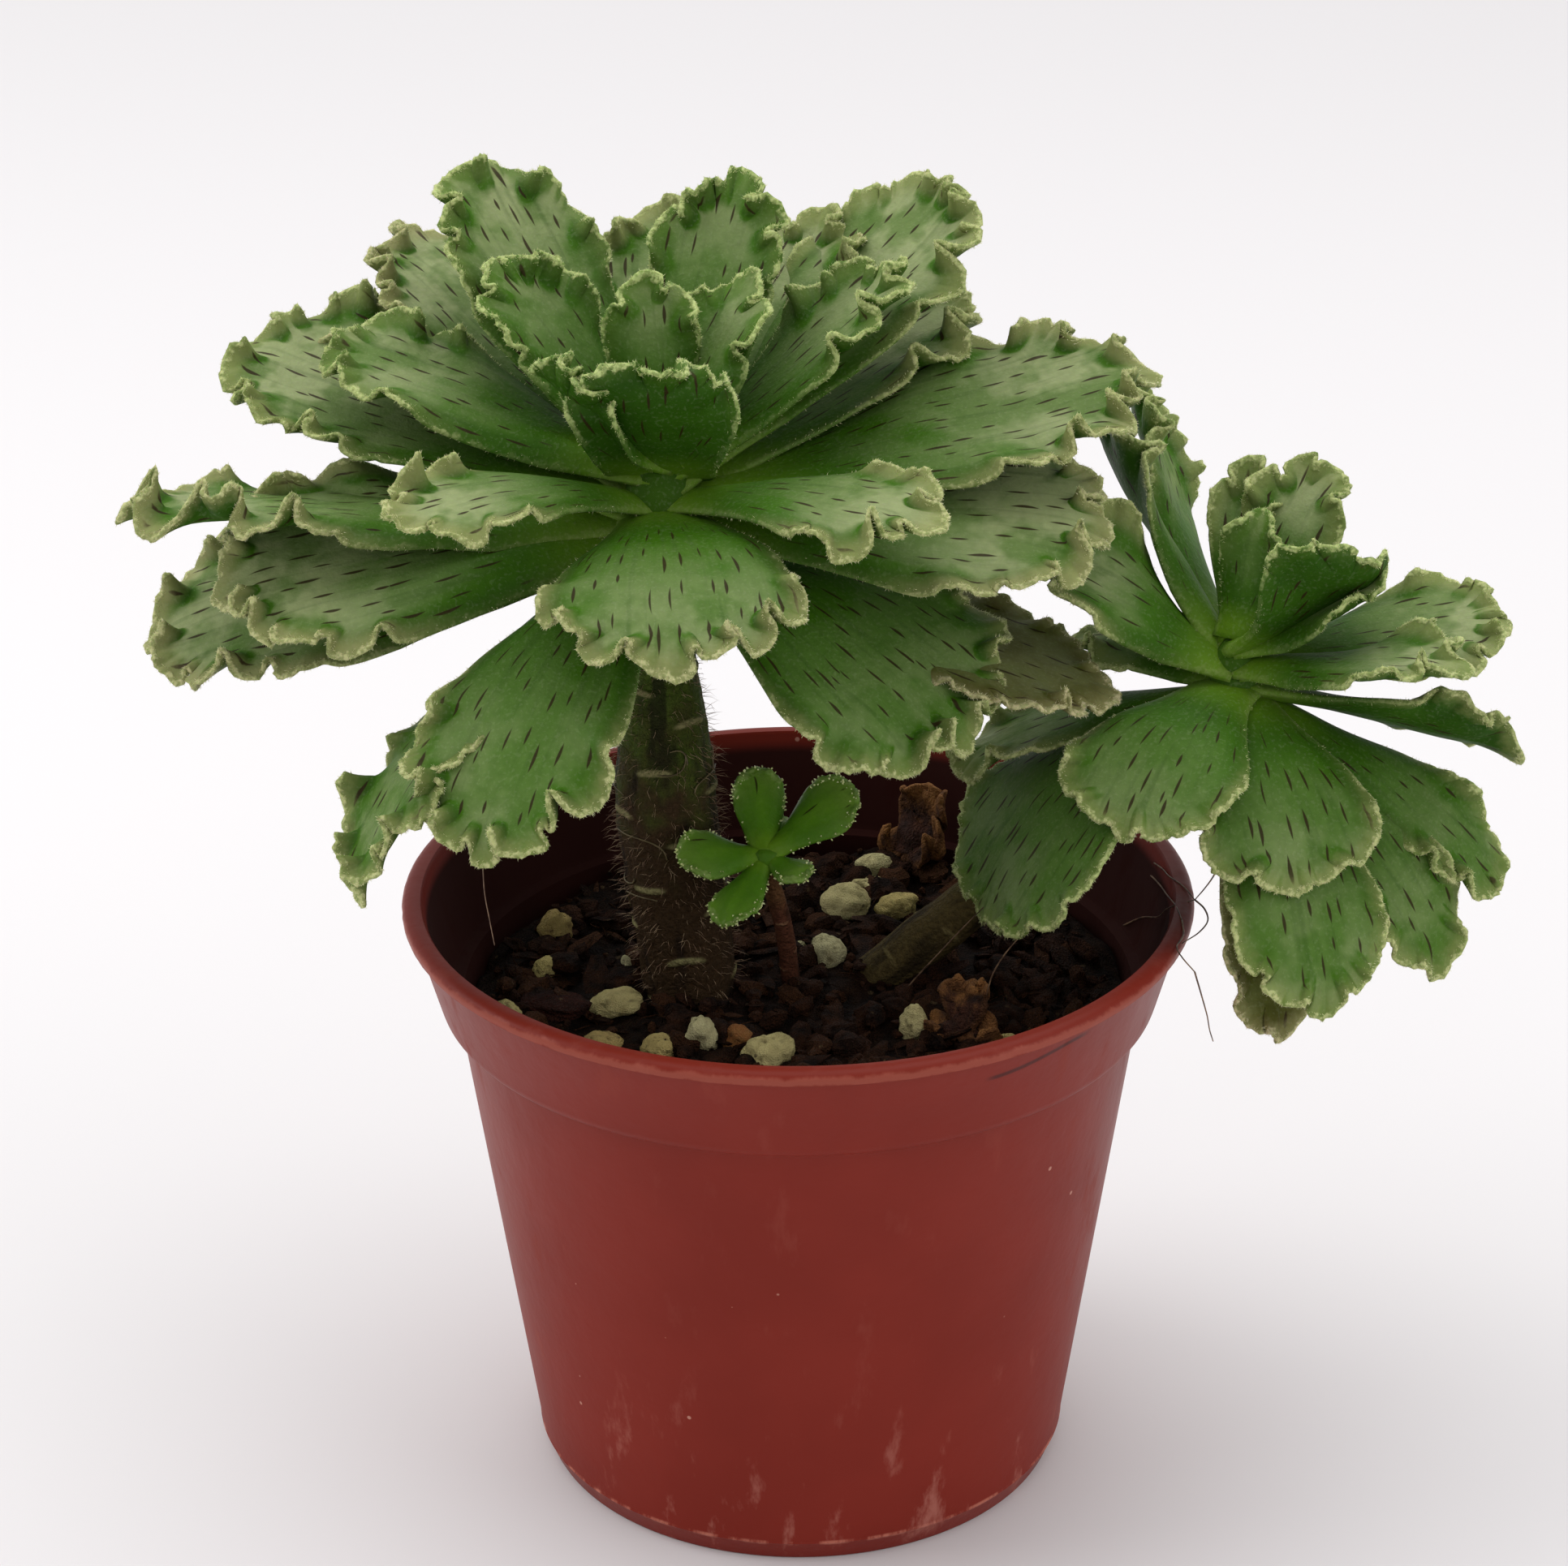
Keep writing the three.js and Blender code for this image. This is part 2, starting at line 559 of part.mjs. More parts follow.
const slantAllowance = 0.6;
const stems = [
  ["main_stem", mainPath, MAIN_STEM_RADII, 14, mainHead.z, STEM_BROWN],
  ["side_stem", sidePath, SIDE_STEM_RADII, 10, sideHead.z - slantAllowance, STEM_BROWN],
  ["shoot_stem", shootPath, SHOOT_RADII, 8, shootHead.z, SHOOT_BROWN],
];

let soil = makeSoil();
for (const [name, path, radii, sides, level, color] of stems) {
  addPart(name, stemSolid(path, radii, sides, level, 0), color, 0.85);
  soil = soil.subtract(stemSolid(path, radii, sides, level, GAP));
}

// Everything that lies on the soil sits in its own shallow dimple.
PUMICE.forEach((grain, index) => {
  const name = "pumice_" + String(index + 1).padStart(2, "0");
  addPart(name, grainSolid(index + 1, grain, 0), PUMICE_CREAM, 0.95);
  soil = soil.subtract(grainSolid(index + 1, grain, GAP));
});
addPart("bark_chip", barkSolid(0), BARK_BROWN, 0.9);
soil = soil.subtract(barkSolid(GAP));
DEAD_LEAVES.forEach(([name, x, y, leaf], index) => {
  addPart(name, leafSolid(leaf, 60 + index, new THREE.Vector3(x, y, leaf[8])), DRY_LEAF_BROWN, 0.8);
});

addPart("pot", makePot(), TERRACOTTA_PLASTIC, 0.5);
addPart("soil", soil, POTTING_SOIL, 0.95);
addPart("main_rosette", rosetteSolid(MAIN_HEART, mainHeart, MAIN_LEAVES), LEAF_GREEN, 0.6);
addPart("side_rosette", rosetteSolid(SIDE_HEART, sideHeart, SIDE_LEAVES), SHADE_GREEN, 0.6);
addPart("shoot_rosette", rosetteSolid(SHOOT_HEART, shootHeart, SHOOT_LEAVES), YOUNG_GREEN, 0.6);

export default plant;
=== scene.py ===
"""Potted aeonium: the looks of a leafy succulent in a plastic nursery pot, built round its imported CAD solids.

Shapes are worked out in millimetres, with +Z up and the viewer along +Y, and written in metres.
"""

import bpy
import numpy as np
from mathutils import Matrix, Vector


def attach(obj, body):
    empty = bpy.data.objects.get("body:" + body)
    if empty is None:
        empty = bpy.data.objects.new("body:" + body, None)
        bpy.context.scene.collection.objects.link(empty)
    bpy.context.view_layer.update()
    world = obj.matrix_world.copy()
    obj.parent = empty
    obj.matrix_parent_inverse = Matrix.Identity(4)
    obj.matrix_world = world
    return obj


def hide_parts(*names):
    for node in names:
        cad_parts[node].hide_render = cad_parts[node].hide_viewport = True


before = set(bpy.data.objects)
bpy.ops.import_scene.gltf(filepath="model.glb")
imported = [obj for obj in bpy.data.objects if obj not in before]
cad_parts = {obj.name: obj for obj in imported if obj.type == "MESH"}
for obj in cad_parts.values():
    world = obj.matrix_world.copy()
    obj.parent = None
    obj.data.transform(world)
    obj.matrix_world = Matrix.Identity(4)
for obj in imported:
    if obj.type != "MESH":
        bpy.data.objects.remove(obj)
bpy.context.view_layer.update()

MM = 0.001
TAU = 2 * np.pi

# The pot, as in the part's source
RIM_RADIUS = 42.5
POT_HEIGHT = 67
POT_WALL = 1
BASE_RADIUS = 29.35
SHOULDER_RADIUS = 36.9
SHOULDER_HEIGHT = 54.6
BAND_FOOT_RADIUS = 38.8
BAND_FOOT_HEIGHT = 55.8
BAND_TOP_RADIUS = 41.5
LIP_THICKNESS = 1
LIP_INNER_RADIUS = 40.3
LIP_FALL = 0.5
BASE_CHAMFER_HEIGHT = 2.5
FLOOR_THICKNESS = 1.8
DRAIN_HOLES = 8
DRAIN_HOLE_RADIUS = 2.6
DRAIN_CIRCLE_RADIUS = 20.5
POT_SIDES = 192

# The filling and the hearts of the rosettes, as in the part's source
SOIL_HEIGHT = 54.6
SOIL_RELIEF = 0.9
MAIN_HEART = np.array([-14, 3, 110.0])
SIDE_HEART = np.array([46.3, 3, 91.0])
SHOOT_HEART = np.array([-3.3, -5.5, 73.4])

# A leaf: where along it the blade is widest, how narrow its stalk is, where its outline rounds off and
# where its large waves start, how far out its midrib reaches, the steps of its spine, and the share of
# the margin from which its rows are close. Then the width in millimetres of the band that carries the
# folds, and the thickness at the midrib, how much less it is at the margin and how much more at the stalk.
# The rings cross each half of the blade, from 0 at its midrib to 1 at its margin.
WIDEST_AT = 0.73
STALK_SHARE = 0.3
SIDE_SHARE = 0.63
WAVES_FROM = 0.42
MIDRIB_REACH = 0.8
SPINE_STEPS = 96
BLADE_FROM = 0.34
FOLD_BAND = 4.2
THICKNESS, THINNER, THICKER = 1.7, 1.2, 0.6
LEAF_RINGS = np.array([0, 0.25, 0.45, 0.6, 0.71, 0.79, 0.86, 0.92, 0.965, 1])

# Each leaf, as in the part's source: azimuth and mean elevation in degrees, the bend of its midrib, length
# and width, the turn about its own midrib, its cup, the height of its waves, the height of its root, the
# half waves on each side. The last number is its age, which only the looks need: from 0 for the youngest
# to 1 for the oldest green leaf, and 2 for one that is dying off.
MAIN_LEAVES = [
    [181, 2.5, 0, 56, 18, 10, 0.1, 1.9, 108, 7, 0.9],
    [187, -5, 8, 46, 26, -24, 0.05, 1.6, 107, 7, 0.9],
    [176, -13, 8, 56, 24, -22, 0.05, 1.6, 106, 7, 1],
    [219.5, -34, 24, 50, 17, 20, 0.1, 1.6, 105, 7, 0.7],
    [241, -28, 26, 44, 21.5, -4, 0.1, 1.6, 105, 7, 0.7],
    [274, -8, 24, 31, 26.5, 0, 0, 1.6, 108.5, 7, 0.9],
    [335.5, -25, 20, 38.5, 30, 17, 0.05, 1.6, 105, 7, 0.7],
    [355, -18.5, 2, 49, 19, 8, 0.1, 1.2, 105, 6, 2],
    [358, 0, 6, 46, 27, 18, 0.1, 1.8, 108, 7, 0.9],
    [12, 11, 0, 53, 24, 14, 0.1, 1.8, 110, 7, 0.8],
    [40, 17.5, 0, 43, 19, 0, 0.15, 1.6, 110, 6, 0.7],
    [39, 31, -4, 47, 20, 8, 0.15, 1.6, 112, 7, 0.5],
    [57, 31, -4, 38, 17, 0, 0.15, 1.6, 112, 6, 0.6],
    [89, 30, -4, 38, 18, 0, 0.15, 1.6, 112, 6, 0.7],
    [129, 21, 0, 49, 21, 0, 0.15, 1.6, 110, 6, 1],
    [137, 12, 2, 50, 22, 0, 0.15, 1.6, 109, 6, 1],
    [155, 13, 2, 51, 26, -12, 0.12, 1.6, 109, 7, 0.5],
    [160, 16, 0, 38, 17, -8, 0.2, 1.5, 113, 6, 0.2],
    [214, 11.5, 14, 32, 14.5, -7, 0.1, 1.5, 109, 6, 0.7],
    [328, 6, 12, 33, 15, 10, 0.1, 1.5, 110, 6, 0.7],
    [129, 39, -6, 41, 18, 0, 0.2, 1.5, 113, 6, 0.2],
    [65, 54, -6, 32, 15, 0, 0.2, 1.5, 114, 5, 0.1],
    [141, 40, -6, 28, 14, 0, 0.25, 1.4, 114, 5, 0],
    [22, 34, -8, 33, 15, 0, 0.3, 1.6, 113, 6, 0.2],
    [38, 54, -6, 20, 12, 0, 0.25, 1.3, 115, 4, 0],
    [100, 68, -4, 17, 10, 0, 0.3, 1, 116, 4, 0],
    [268, 56, -12, 18, 17.5, 0, 0.2, 1.4, 113, 5, 0],
    [212, 46, -8, 18, 11, 0, 0.25, 1.3, 114, 4, 0],
    [112, -5, 10, 44, 23, 0, 0.1, 1.6, 107, 4, 0.8],
    [70, -7, 10, 44, 23, 0, 0.1, 1.6, 107, 4, 0.8],
    [92, -24, 16, 40, 22, 0, 0.1, 1.6, 105, 4, 0.8],
]
SIDE_LEAVES = [
    [106, 31, -6, 40, 14, 60, 0.3, 1.4, 91, 5, 0.5],
    [122, 37, -4, 33, 13, 60, 0.3, 1.4, 91, 5, 0.5],
    [170, 30, 0, 25, 17, -20, 0.4, 1.5, 91, 5, 0.6],
    [150, 6, 8, 18, 11, 0, 0.15, 1.2, 89, 3, 0.4],
    [174, -18, 12, 31, 12, 0, 0.1, 1, 88, 4, 0.6],
    [200, -38, 30, 37, 28, 0, 0.05, 0.9, 88, 5, 0.4],
    [236, -20, 22, 24.5, 20, -4, 0.05, 0.9, 89, 5, 0.6],
    [287, -35, 24, 24.5, 20, 0, 0.05, 1, 88, 5, 0.6],
    [290, -48, 18, 36, 17, 0, 0.05, 1, 88.5, 5, 0.5],
    [280, -55, 14, 37, 10, 0, 0.1, 1, 88, 4, 2],
    [340, -50, 16, 28, 12, 0, 0.1, 1, 88, 4, 0.9],
    [330, -46, 16, 37, 12, 30, 0.1, 1.2, 88, 5, 0.6],
    [350, -36, 16, 36, 12, 25, 0.15, 1.2, 88, 5, 0.5],
    [352, -12, 6, 30, 12, -40, 0.2, 1.2, 89, 5, 0.7],
    [4, 9, 0, 29, 17, 13, 0.1, 1.3, 91, 5, 0.5],
    [332, 12, 0, 25, 14, 0, 0.3, 1.2, 91, 5, 0.4],
    [335, 42, -8, 19, 17, -40, 0.2, 1.3, 93, 5, 0.1],
    [350, 32, -6, 17, 11, 0, 0.2, 1.2, 93, 4, 0.1],
    [52, 48, -6, 22, 12, 0, 0.15, 1.3, 93, 4, 0.4],
    [80, 44, -4, 21, 8, 0, 0.15, 1.3, 93, 4, 0.4],
    [60, 68, -4, 13, 7, 0, 0.3, 0.8, 94, 3, 0],
    [40, -4, 8, 26, 14, 0, 0.1, 1.2, 89, 4, 0.7],
    [82, -10, 10, 26, 14, 0, 0.1, 1.2, 89, 4, 0.7],
]
SHOOT_LEAVES = [
    [101, 50, -4, 9.2, 5.4, 0, 0.1, 0.3, 73.4, 3, 0],
    [19, 30, 0, 11.4, 6.8, 28, 0.1, 0.3, 73.4, 3, 0],
    [190, 4, 14, 9.2, 5.8, -35, 0.1, 0.3, 73.1, 3, 0],
    [235, -30, 10, 9, 5.4, 0, 0.1, 0.3, 72.8, 3, 0],
    [320, -8, 10, 5.5, 4, 10, 0.1, 0.3, 73.1, 2, 0],
    [70, 6, 0, 7, 4, 0, 0.1, 0.3, 73, 2, 0],
]
DEAD_LEAVES = [
    ["dead_leaf_back", 12.4, 29.6, [38, 48, 10, 9, 8.5, 10, 0.5, 0.7, 56.2, 4, 2]],
    ["dead_leaf_front", 17, -14.4, [64, 36, 16, 6.5, 6.5, -10, 0.7, 0.6, 56.2, 3, 2]],
]

# The hearts: profiles of [radius, height above the heart's centre]
MAIN_HEART_PROFILE = [[0, -6.7], [4.4, -6.7], [5, -4], [4.2, -1], [3.4, 2.5], [2, 5], [0, 6]]
SIDE_HEART_PROFILE = [[0, -6], [2.8, -6], [3.2, -3.6], [2.8, -1], [2.2, 1.6], [1.2, 3], [0, 3.4]]
SHOOT_HEART_PROFILE = [[0, -1.6], [1.1, -1.6], [1.6, -0.6], [1.5, 0.5], [0, 1.2]]

# The stems: points along each from its buried end, and its radii at even steps
MAIN_STEM_PATH = [[-11.1, 0.8, 38.7], [-11.8, 1.3, 54.6], [-14, 2.1, 76], [-14, 2.8, 103]]
MAIN_STEM_RADII = [3.6, 4.8, 5.1, 5.1, 5.2, 5.35, 5.5, 5.4, 4.6, 3.7, 3.5, 3.5]
SIDE_STEM_PATH = [[3.2, 3.3, 49.7], [9, 3.3, 54.6], [26.5, 3.2, 69.6], [42.3, 3, 81.1], [44.7, 3, 84.7]]
SIDE_STEM_RADII = [1.8, 2.7, 2.9, 2.7, 2.5, 2.3, 2.2, 2.1, 1.9]
SHOOT_STEM_PATH = [[0.2, 2.4, 49], [-0.7, 0.4, 54.6], [-1.6, -2.6, 63.5], [-3.3, -5.5, 71.5]]
SHOOT_STEM_RADII = [0.8, 1.1, 1.05, 1, 1, 1]

# Each pumice grain on the soil: place, half its length, width and height, its turn in degrees, and its
# warmth, from 0 for white through 0.5 for cream to 1 for orange brown.
PUMICE = [
    [-27, 12.5, 1.9, 1.6, 2.1, 20, 0.7],
    [-27.7, 4.5, 1.8, 1.3, 1.1, 50, 0.5],
    [-19.6, -4.4, 2.7, 2, 1.8, 15, 0.35],
    [-31.4, -6.6, 2.2, 1.6, 1.2, 120, 0.4],
    [-20.9, -12.9, 2, 1.6, 1.1, 170, 0.7],
    [-14.6, -14.8, 1.8, 1.6, 1.5, 30, 0.65],
    [-10.4, -13.8, 1.9, 1.7, 2.1, 80, 0.2],
    [-6.3, -13.6, 1.6, 1.5, 1.4, 0, 1],
    [-3.4, -17.3, 2.9, 2.1, 2.2, 40, 0.35],
    [8.7, 28, 1.9, 1.6, 1.7, 10, 0.25],
    [8.4, 23.2, 2.6, 1.5, 1.3, 0, 0.3],
    [5.6, 17.2, 2.9, 2.3, 2.2, 150, 0.3],
    [11.2, 17.4, 2.2, 1.7, 1.5, 20, 0.6],
    [3.1, 6.2, 2.1, 1.8, 1.9, 110, 0.15],
    [12.2, -11.4, 1.8, 1.6, 2.1, 60, 0.3],
    [22, -14.6, 1.7, 1.3, 1.1, 20, 0.5],
]
# The flat dark chip of bark, in the same columns
BARK_CHIP = [-26, -4.8, 4.3, 2.7, 0.8, -22, 0]
# Fine roots: the radius of each, then the x, y and z of points along it. At least one end is on the rim,
# the wall, the soil or a leaf.
ROOT_FIBRES = [
    [0.1, 44.2, -14.8, 77.4, 43.4, -14.7, 75.7, 43.2, -12, 73.4, 42.9, -8, 70.3, 42.3, -3.9, 66.9],
    [0.11, 42.3, -3.9, 66.9, 43.1, -6.2, 67, 43.3, -8.5, 66.9, 42.2, -11.4, 66.9, 40.1, -14.1, 66.9],
    [0.11, 38.6, 8.9, 63.6, 39.2, 3, 65.2, 39.6, -1.5, 66.2, 40.2, -5.6, 66.9, 40.5, -9.2, 67.1],
    [0.11, 40.5, -9.2, 67.1, 40.4, -12.2, 66.9, 39.5, -15, 66.9, 39.9, -17.2, 66.8, 41.2, -17.5, 65.3],
    [0.1, 41.2, -17.5, 65.3, 42.1, -17.5, 62.2, 42.7, -17.5, 60, 43, -17.5, 58.4, 43.4, -17.5, 57.1],
    [0.1, 38.9, 8.2, 65.4, 39.6, 4.4, 66.4, 40, 1.8, 66.9, 41.2, -0.8, 67.1, 42.3, -3.9, 66.9],
    [0.1, 35.9, 11.2, 56.2, 37.5, 7, 59.3, 38.9, 0, 63, 40.1, -5, 66.8, 42.3, -3.9, 66.9],
    [0.09, 10.3, -3.3, 54.4, 13.4, -4.3, 58.9, 15.1, -4.8, 61.2, 16.6, -5.3, 63.3, 19.7, -6.3, 67.4],
    [0.09, 19.7, -13.9, 60.7, 20.4, -14, 63.4, 21.5, -14.5, 65.8, 23.2, -15.2, 68.6, 24, -15.5, 70.2],
    [0.07, -31.7, -28.3, 86.1, -31.5, -29, 83.6, -31.4, -29, 80.5, -31, -29, 77.5, -30.6, -29, 74.7],
]
# Smaller grit between the grains, in the same columns
GRIT = [
    [-17.6, -16.7, 0.9, 0.7, 0.6, 0, 0.1],
    [-18.3, 5.4, 1.1, 0.9, 0.8, 30, 0.1],
    [0.2, 8.1, 0.9, 0.8, 0.9, 0, 0.1],
    [14.9, -10.6, 1, 0.8, 0.7, 40, 0.35],
    [-8.1, -20.4, 1, 0.8, 0.7, 10, 0.5],
    [-3.5, -27.5, 1.7, 1.3, 1.1, 25, 0.3],
    [9.8, -25.4, 1.4, 1.1, 1, 70, 0.5],
    [18.6, -22.8, 1.6, 1.2, 0.9, 10, 0.2],
    [-14.2, -26.1, 1.2, 0.9, 0.8, 130, 0.6],
    [3.4, -32, 1.1, 0.9, 0.8, 100, 0.1],
]

# Where each stem leaves the soil, and how far loose pieces stay from its middle
STEM_FEET = [[-11.8, 1.3, 5.2], [9.6, 3.3, 2.7], [-0.7, 0.4, 1.6]]
# How far from the pot's axis a piece on the soil may reach and its litter may start, and the gap between
# the soil and the pot
SOIL_REACH, LITTER_REACH = 35.2, 31
SOIL_GAP = 0.25
# How many crumbs, bark bits and scraps of litter lie on the soil, and hairs and threads are on the trunk
CRUMB_COUNT, BIT_COUNT, LITTER_COUNT = 900, 90, 190
HAIR_COUNT, THREAD_COUNT = 1600, 18
GOLDEN_ANGLE = 2.39996

# Gland hairs of a rosette: how many per millimetre of margin, their length and radius, the share of them
# on the stalk, and whether they widen into beads
MAIN_GLANDS = (15.0, 0.32, 0.048, 0.3, False)
SIDE_GLANDS = (14.0, 0.3, 0.046, 0.35, False)
SHOOT_GLANDS = (5.0, 0.34, 0.13, 0.8, True)

# The stage: half the floor's width in millimetres. The camera's place in metres, its angles in radians
# (down, to the side and about its own axis) and its lens were solved from the outlines in the photo.
FLOOR_HALF = 4000
CAMERA_PLACE = (0, -0.4293, 0.27873)
CAMERA_ANGLES = (0.4353, -0.0033, -0.0069)
CAMERA_LENS = 102.31


# Numbers and shapes


def pack(*parts):
    """Arrays put together along a new last axis, such as points from their x, y and z."""
    return np.stack(parts, axis=-1)


def polar(radius, angle):
    """The x and y of places given by a radius and an angle."""
    return radius * np.cos(angle), radius * np.sin(angle)


def clamp(value):
    """Numbers held between 0 and 1."""
    return np.clip(value, 0, 1)


def fraction_of_sine(value):
    """A repeatable number from 0 to 1: the fraction of a large sine."""
    value = np.sin(value) * 43758.5453
    return value - np.floor(value)


def scatter(a, b):
    """A repeatable number from 0 to 1 for a pair of numbers."""
    return fraction_of_sine(a * 12.9898 + b * 78.233)


def value_noise(place, seed=0.0):
    """Smooth noise from -1 to 1: a number for each corner of the unit lattice, mixed by 3t^2 - 2t^3."""
    place = np.asarray(place, dtype=float)
    corner = np.floor(place)
    share = place - corner
    share = share * share * (3 - 2 * share)
    total = np.zeros(place.shape[:-1])
    for step in np.ndindex(2, 2, 2):
        at = corner + step
        value = fraction_of_sine(at @ [12.71, 31.17, 74.7] + seed * 5.33)
        total += value * np.prod(np.where(step, share, 1 - share), axis=-1)
    return 2 * total - 1


def fractal_noise(place, octaves=3, seed=0.0):
    """Value noise added at doubled frequencies and halved heights."""
    place = np.asarray(place, dtype=float)
    return sum(value_noise(place * 2**k, seed + 7 * k) / 2**k for k in range(octaves)) / 1.6


def noise_along(value, seed=0.0):
    """Smooth noise from -1 to 1 along one number."""
    value = np.asarray(value, dtype=float)
    return value_noise(pack(value, value * 0 + 0.37, value * 0 + 0.71), seed)


def unit(vectors):
    """Vectors brought to length 1."""
    return vectors / np.maximum(np.linalg.norm(vectors, axis=-1, keepdims=True), 1e-9)


def heap(shapes):
    """Several shapes, each a dict of points, faces and layers, put into one with their faces renumbered."""
    shapes = list(shapes)
    starts = np.cumsum([0] + [len(shape["points"]) for shape in shapes[:-1]])
    joined = {key: np.concatenate([shape[key] for shape in shapes]) for key in shapes[0] if key != "faces"}
    joined["faces"] = np.concatenate([shape["faces"] + start for shape, start in zip(shapes, starts)])
    return joined


def grid_faces(index, flip=False):
    """Four-cornered faces of a grid of vertex numbers, turned over on request."""
    a, b, c, d = index[:-1, :-1], index[1:, :-1], index[1:, 1:], index[:-1, 1:]
    corners = (a, d, c, b) if flip else (a, b, c, d)
    return pack(*corners).reshape(-1, 4)


def round_grid(rows, around, poles=()):
    """Vertex numbers of rows that close on themselves; each row named as a pole is one vertex."""
    index = np.arange(rows * around).reshape(rows, around)
    for pole in poles:
        index[pole] = index[pole, 0]
    return np.concatenate([index, index[:, :1]], axis=1)


def repeated(points, pattern):
    """The shape that has one pattern of faces for each row of points."""
    faces = np.array(pattern)[None] + points.shape[1] * np.arange(len(points))[:, None, None]
    return {"points": points.reshape(-1, 3), "faces": faces.reshape(-1, 4)}


def sample(at, steps, table):
    """The rows of a table of three columns at places between its steps."""
    return pack(*(np.interp(at, steps, table[:, k]) for k in range(3)))


def travelled(path):
    """How far along a path each of its points is."""
    return np.concatenate([[0], np.cumsum(np.linalg.norm(np.diff(path, axis=0), axis=1))])


def dress(piece, node=None):
    """Rides a piece on the one body, and hides the CAD part that it stands for."""
    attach(piece, "root")
    if node:
        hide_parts(node)


def build(name, shape, material, slot=None, node=None, smooth=True):
    """A mesh object from points in millimetres and faces of four numbers, dressed if it has a slot.

    A face whose neighbouring corners are one vertex is written as a triangle, and vertices that no face
    uses are left out. Layers other than points and faces become vertex attributes; uv becomes a UV map.
    """
    faces = shape["faces"]
    same = faces == np.roll(faces, -1, axis=1)
    whole = faces[~same.any(axis=1)]
    pinched = faces[same.sum(axis=1) == 1]
    triangles = pinched[pinched != np.roll(pinched, -1, axis=1)].reshape(-1, 3)
    used, loops = np.unique(np.concatenate([whole.ravel(), triangles.ravel()]), return_inverse=True)
    mesh = bpy.data.meshes.new(name)
    mesh.vertices.add(len(used))
    mesh.vertices.foreach_set("co", (shape["points"][used] * MM).astype(np.float32).ravel())
    mesh.loops.add(len(loops))
    mesh.loops.foreach_set("vertex_index", loops.astype(np.int32))
    starts = np.concatenate([np.arange(len(whole)) * 4, 4 * len(whole) + np.arange(len(triangles)) * 3])
    mesh.polygons.add(len(starts))
    mesh.polygons.foreach_set("loop_start", starts.astype(np.int32))
    for key, layer in shape.items():
        if key == "uv":
            chart = mesh.uv_layers.new(name="surface")
            chart.data.foreach_set("uv", layer[used][loops].astype(np.float32).ravel())
        elif key not in ("points", "faces"):
            attribute = mesh.attributes.new(key, "FLOAT_VECTOR", "POINT")
            attribute.data.foreach_set("vector", layer[used].astype(np.float32).ravel())
    mesh.update(calc_edges=True)
    mesh.validate()
    mesh.polygons.foreach_set("use_smooth", [smooth] * len(mesh.polygons))
    piece = bpy.data.objects.new(name, mesh)
    bpy.context.scene.collection.objects.link(piece)
    mesh.materials.append(material)
    if slot:
        dress(piece, node)
    return piece


def lathe(profile, sides, wobble=None):
    """A solid of revolution: (r cos a, r sin a, z) for each [r, z] of the profile and each angle a.

    The profile runs from the axis, outside and back to the axis, upwards on the outside.
    """
    profile = np.asarray(profile, dtype=float)
    angle = np.arange(sides) * TAU / sides
    radius = np.repeat(profile[:, :1], sides, axis=1)
    height = np.repeat(profile[:, 1:], sides, axis=1)
    if wobble is not None:
        radius = wobble(radius, height, angle)
    points = pack(*polar(radius, angle), height)
    index = round_grid(len(profile), sides, np.flatnonzero(profile[:, 0] < 1e-6))
    return {"points": points.reshape(-1, 3), "faces": grid_faces(index.T)}


def smooth_path(points, count):
    """A curve through points: cubic Hermite pieces whose tangents are the chords between neighbours."""
    points = np.asarray(points, dtype=float)
    length = travelled(points)
    tangent = np.gradient(points, length, axis=0)
    place = np.linspace(0, length[-1], count)
    k = np.clip(np.searchsorted(length, place, side="right") - 1, 0, len(points) - 2)
    span = (length[k + 1] - length[k])[:, None]
    t = (place[:, None] - length[k][:, None]) / span
    return (
        (2 * t**3 - 3 * t**2 + 1) * points[k]
        + (t**3 - 2 * t**2 + t) * span * tangent[k]
        + (3 * t**2 - 2 * t**3) * points[k + 1]
        + (t**3 - t**2) * span * tangent[k + 1]
    )


def path_frames(path):
    """The tangent of a path, and two directions square to it that turn as little as the path does."""
    tangent = unit(np.gradient(path, axis=0))
    guide = np.array([0.12, 0.98, 0.16])
    side = unit(guide - (tangent @ guide)[:, None] * tangent)
    return tangent, side, np.cross(tangent, side)


def rod(points, radii, rows, around, relief=None):
    """A tube along a smooth path: centre + r (cos a side + sin a top), with r from the list of radii.

    Relief, a function of the distance along, the angle and the radius, gives what is added to the radius
    and the three values of the layer tone. Both ends are closed.
    """
    path = smooth_path(points, rows)
    _, side, top = path_frames(path)
    along = travelled(path)
    steps = np.linspace(0, along[-1], len(radii))
    angle = np.arange(around) * TAU / around
    radius = np.interp(along, steps, radii)[:, None] + np.zeros(around)
    colour = np.zeros((rows, around, 3))
    if relief is not None:
        change, colour = relief(along[:, None] + 0 * angle, angle + 0 * along[:, None], radius)
        radius = radius + change
    spoke = side[:, None] * np.cos(angle)[:, None] + top[:, None] * np.sin(angle)[:, None]
    skin = path[:, None] + radius[..., None] * spoke
    points = np.concatenate([skin.reshape(-1, 3), path[:1], path[-1:]])
    start = np.full((1, around + 1), rows * around)
    index = np.concatenate([start, round_grid(rows, around), start + 1])
    shade = np.concatenate([colour.reshape(-1, 3), colour[0, :1], colour[-1, :1]])
    return {"points": points, "faces": grid_faces(index, flip=True), "tone": shade}


def spokes(direction, guide):
    """Three unit vectors square to each direction, a third of a turn apart."""
    side = unit(np.cross(direction, guide))
    top = np.cross(direction, side)
    return [side * np.cos(a) + top * np.sin(a) for a in (0, TAU / 3, 2 * TAU / 3)]


